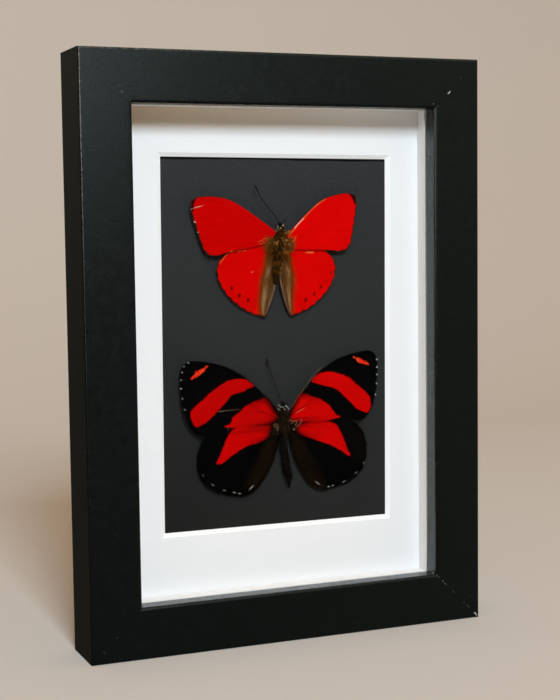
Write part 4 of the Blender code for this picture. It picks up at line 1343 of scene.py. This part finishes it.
bandedBody = dict(
    voxel=0.13,
    blobs=[(0.1, 4.5, 2.8, 1.15, 0.95, 0.9), (0.1, 3.3, 2.7, 1.3, 1.1, 0.9),
           (0.0, 0.9, 2.6, 1.85, 1.6, 2.4), (0.0, -1.9, 2.5, 1.65, 1.45, 1.8),
           (0.1, -4.0, 2.3, 1.25, 1.2, 1.1), (0.2, -5.6, 2.2, 1.25, 1.2, 1.1),
           (0.4, -7.3, 2.1, 1.30, 1.25, 1.15), (0.6, -9.1, 2.1, 1.34, 1.3, 1.2),
           (0.85, -11.0, 2.0, 1.40, 1.3, 1.3), (1.1, -12.9, 2.0, 1.42, 1.3, 1.4),
           (1.45, -14.8, 1.9, 1.42, 1.2, 1.3), (1.85, -16.6, 1.8, 1.45, 1.1, 1.2),
           (2.1, -18.4, 1.7, 0.95, 0.9, 1.1), (2.3, -20.1, 1.7, 0.5, 0.6, 1.0),
           (3.0, -17.8, 1.8, 0.55, 0.5, 0.5), (-0.2, 5.6, 2.5, 0.25, 0.3, 0.7),
           (0.4, 5.6, 2.5, 0.25, 0.3, 0.7)],
    eyes=[(-0.8, 4.7, 2.9, 0.6, 0.6, 0.7), (1.0, 4.7, 2.9, 0.6, 0.6, 0.7)],
    feelers=[([(-0.5, 5.3, 3.0), (-1.8, 9.5, 3.2), (-2.9, 12.8, 2.9), (-4.0, 16.2, 2.4), (-4.9, 19.8, 1.9)],
              True), ([(0.5, 5.3, 3.1), (0.9, 6.1, 3.4), (1.1, 6.7, 3.6)], False)],
    hairs=[((0.0, 0.9, 2.6, 1.85, 1.6, 2.4), (800, 0.7, 1.6, -1.0, 0.6, 0.0, 0.55)),
           ((0.0, -1.9, 2.5, 1.65, 1.45, 1.8), (450, 0.8, 1.8, -1.0, 0.7, 0.0, 0.5)),
           ((0.1, 3.3, 2.7, 1.3, 1.1, 0.9), (220, 0.5, 1.1, -0.6, 0.5, 0.0, 0.6)),
           ((0.4, -7.3, 2.1, 1.30, 1.25, 1.15), (220, 0.5, 1.1, -1.0, 0.85, 0.0, 0.16)),
           ((0.85, -11.0, 2.0, 1.36, 1.3, 1.2), (220, 0.4, 0.9, -1.0, 0.88, 0.0, 0.16)),
           ((1.45, -14.8, 1.9, 1.28, 1.2, 1.15), (200, 0.4, 0.9, -1.0, 0.88, 0.0, 0.16)),
           ((2.1, -18.4, 1.7, 0.95, 0.9, 1.1), (120, 0.4, 0.8, -1.0, 0.88, 0.0, 0.16))],
    locks=[((0.0, 0.9, 2.7, 1.95, 1.7, 2.4), (50, 0.6, 1.3, -1.0, 0.5, 0.0, 0.75)),
           ((0.0, -1.9, 2.6, 1.75, 1.55, 1.8), (34, 0.6, 1.3, -1.0, 0.65, 0.0, 0.6))],
    flakes=[(6, (-0.5, 71.3, 3.5), 0.09, (-0.2, 0.5, 0.9), (0.25, 0.4), (2.0, 2.0)),
            (5, (-0.2, 70.7, 3.7), 0.08, (-0.2, 0.4, 0.9), (0.25, 0.4), (2.0, 2.0)),
            (5, (-0.6, 70.0, 3.6), 0.09, (-0.4, 0.3, 0.9), (0.25, 0.4), (2.0, 2.0)),
            (4, (0.5, 70.6, 3.9), 0.07, (0.0, 0.4, 0.9), (0.25, 0.4), (1.8, 2.0)),
            (4, (1.2, 69.9, 3.9), 0.08, (0.0, 0.4, 0.9), (0.25, 0.4), (1.6, 1.8)),
            (6, (1.7, 70.9, 3.7), 0.09, (0.1, 0.5, 0.9), (0.25, 0.4), (2.0, 2.0)),
            (5, (2.2, 70.5, 3.7), 0.08, (0.2, 0.4, 0.9), (0.25, 0.4), (2.0, 2.0)),
            (5, (2.6, 69.9, 3.6), 0.08, (0.3, 0.3, 0.9), (0.25, 0.4), (2.0, 2.0)),
            (4, (4.3, 63.5, 3.6), 0.10, (0.4, -0.4, 0.7), (0.3, 0.5), (1.2, 1.6))],
    curls=[[(-3.7, -1.0, 3.6), (-2.9, -0.4, 3.7), (-2.1, -0.9, 3.6), (-1.9, -1.8, 3.4), (-2.0, -2.8, 3.1)],
           [(-3.4, -1.5, 3.5), (-2.7, -1.2, 3.6), (-2.3, -1.8, 3.4), (-2.3, -2.4, 3.3)],
           [(5.8, 0.6, 3.7), (5.6, -0.4, 3.7), (4.9, -1.3, 3.5), (4.1, -2.1, 3.2)],
           [(1.3, 0.2, 4.2), (2.1, 0.5, 4.1), (2.7, -0.1, 3.9), (2.4, -0.7, 3.8)],
           [(3.1, 0.0, 3.9), (3.8, 0.2, 3.9), (4.2, -0.5, 3.7), (3.7, -1.4, 3.5)],
           [(4.2, 2.6, 3.6), (5.4, 3.2, 3.7), (6.9, 3.8, 3.6)]],
    tufts=[(40, (-1.6, 64.0, 3.0), 0.7, (-0.6, -0.9, 0.2), (1.2, 2.4), (0.1, 0.6)),
           (40, (4.0, 64.5, 3.0), 0.7, (0.7, -0.8, 0.2), (1.2, 2.4), (0.1, 0.6)),
           (100, (-3.8, 58.0, 2.1), 1.3, (-0.4, -1.0, 0.05), (1.4, 2.6), (0.05, 0.4)),
           (100, (6.2, 58.0, 2.1), 1.3, (0.45, -1.0, 0.05), (1.4, 2.6), (0.05, 0.4))],
    threads=[(-20.0, 70.3, -17.7, 70.6, 3.2, 2.0), (-18.0, 70.55, -12.5, 70.8, 3.3, 1.0),
             (-17.2, 64.8, -16.8, 65.4, 3.0, 0.95), (-13.7, 62.8, -13.4, 63.3, 2.3, 1.0),
             (-17.8, 59.3, -16.2, 60.0, 2.2, 0.9), (14.0, 82.3, 10.7, 79.5, 3.35, 1.2),
             (10.7, 79.5, 8.3, 76.3, 3.40, 1.1), (8.3, 76.3, 5.4, 73.0, 3.50, 1.2),
             (5.4, 73.0, 3.7, 69.4, 3.60, 1.0), (-0.9, 62.6, -0.8, 61.9, 3.2, 0.9)],
)
makeButterfly("banded", dict(
    middle=bandedMiddle, seed=23, node="lower_butterfly", wings=bandedWings, marks=bandedMarks,
    wingFinish=bandedFinish, wingSlot="black_wing", hairSlot="dark_fur", body=bandedBody,
    fringeFinish=hairFinish("bandedFringe", (0.002, 0.002, 0.002), (0.006, 0.006, 0.006), (0.80, 0.78, 0.74)),
    bodyFinish=bodyFinish("darkBody", (0.0007, 0.0005, 0.0003), (0.0030, 0.0019, 0.0010), 69.8),
    eyeFinish=eyeFinish("darkEye", (0.012, 0.010, 0.008)),
    hairFinish=hairFinish("darkHair", (0.0006, 0.0003, 0.0002), (0.026, 0.0105, 0.0022), (0.62, 0.40, 0.20)),
    feelerFinish=feelerFinish,
))
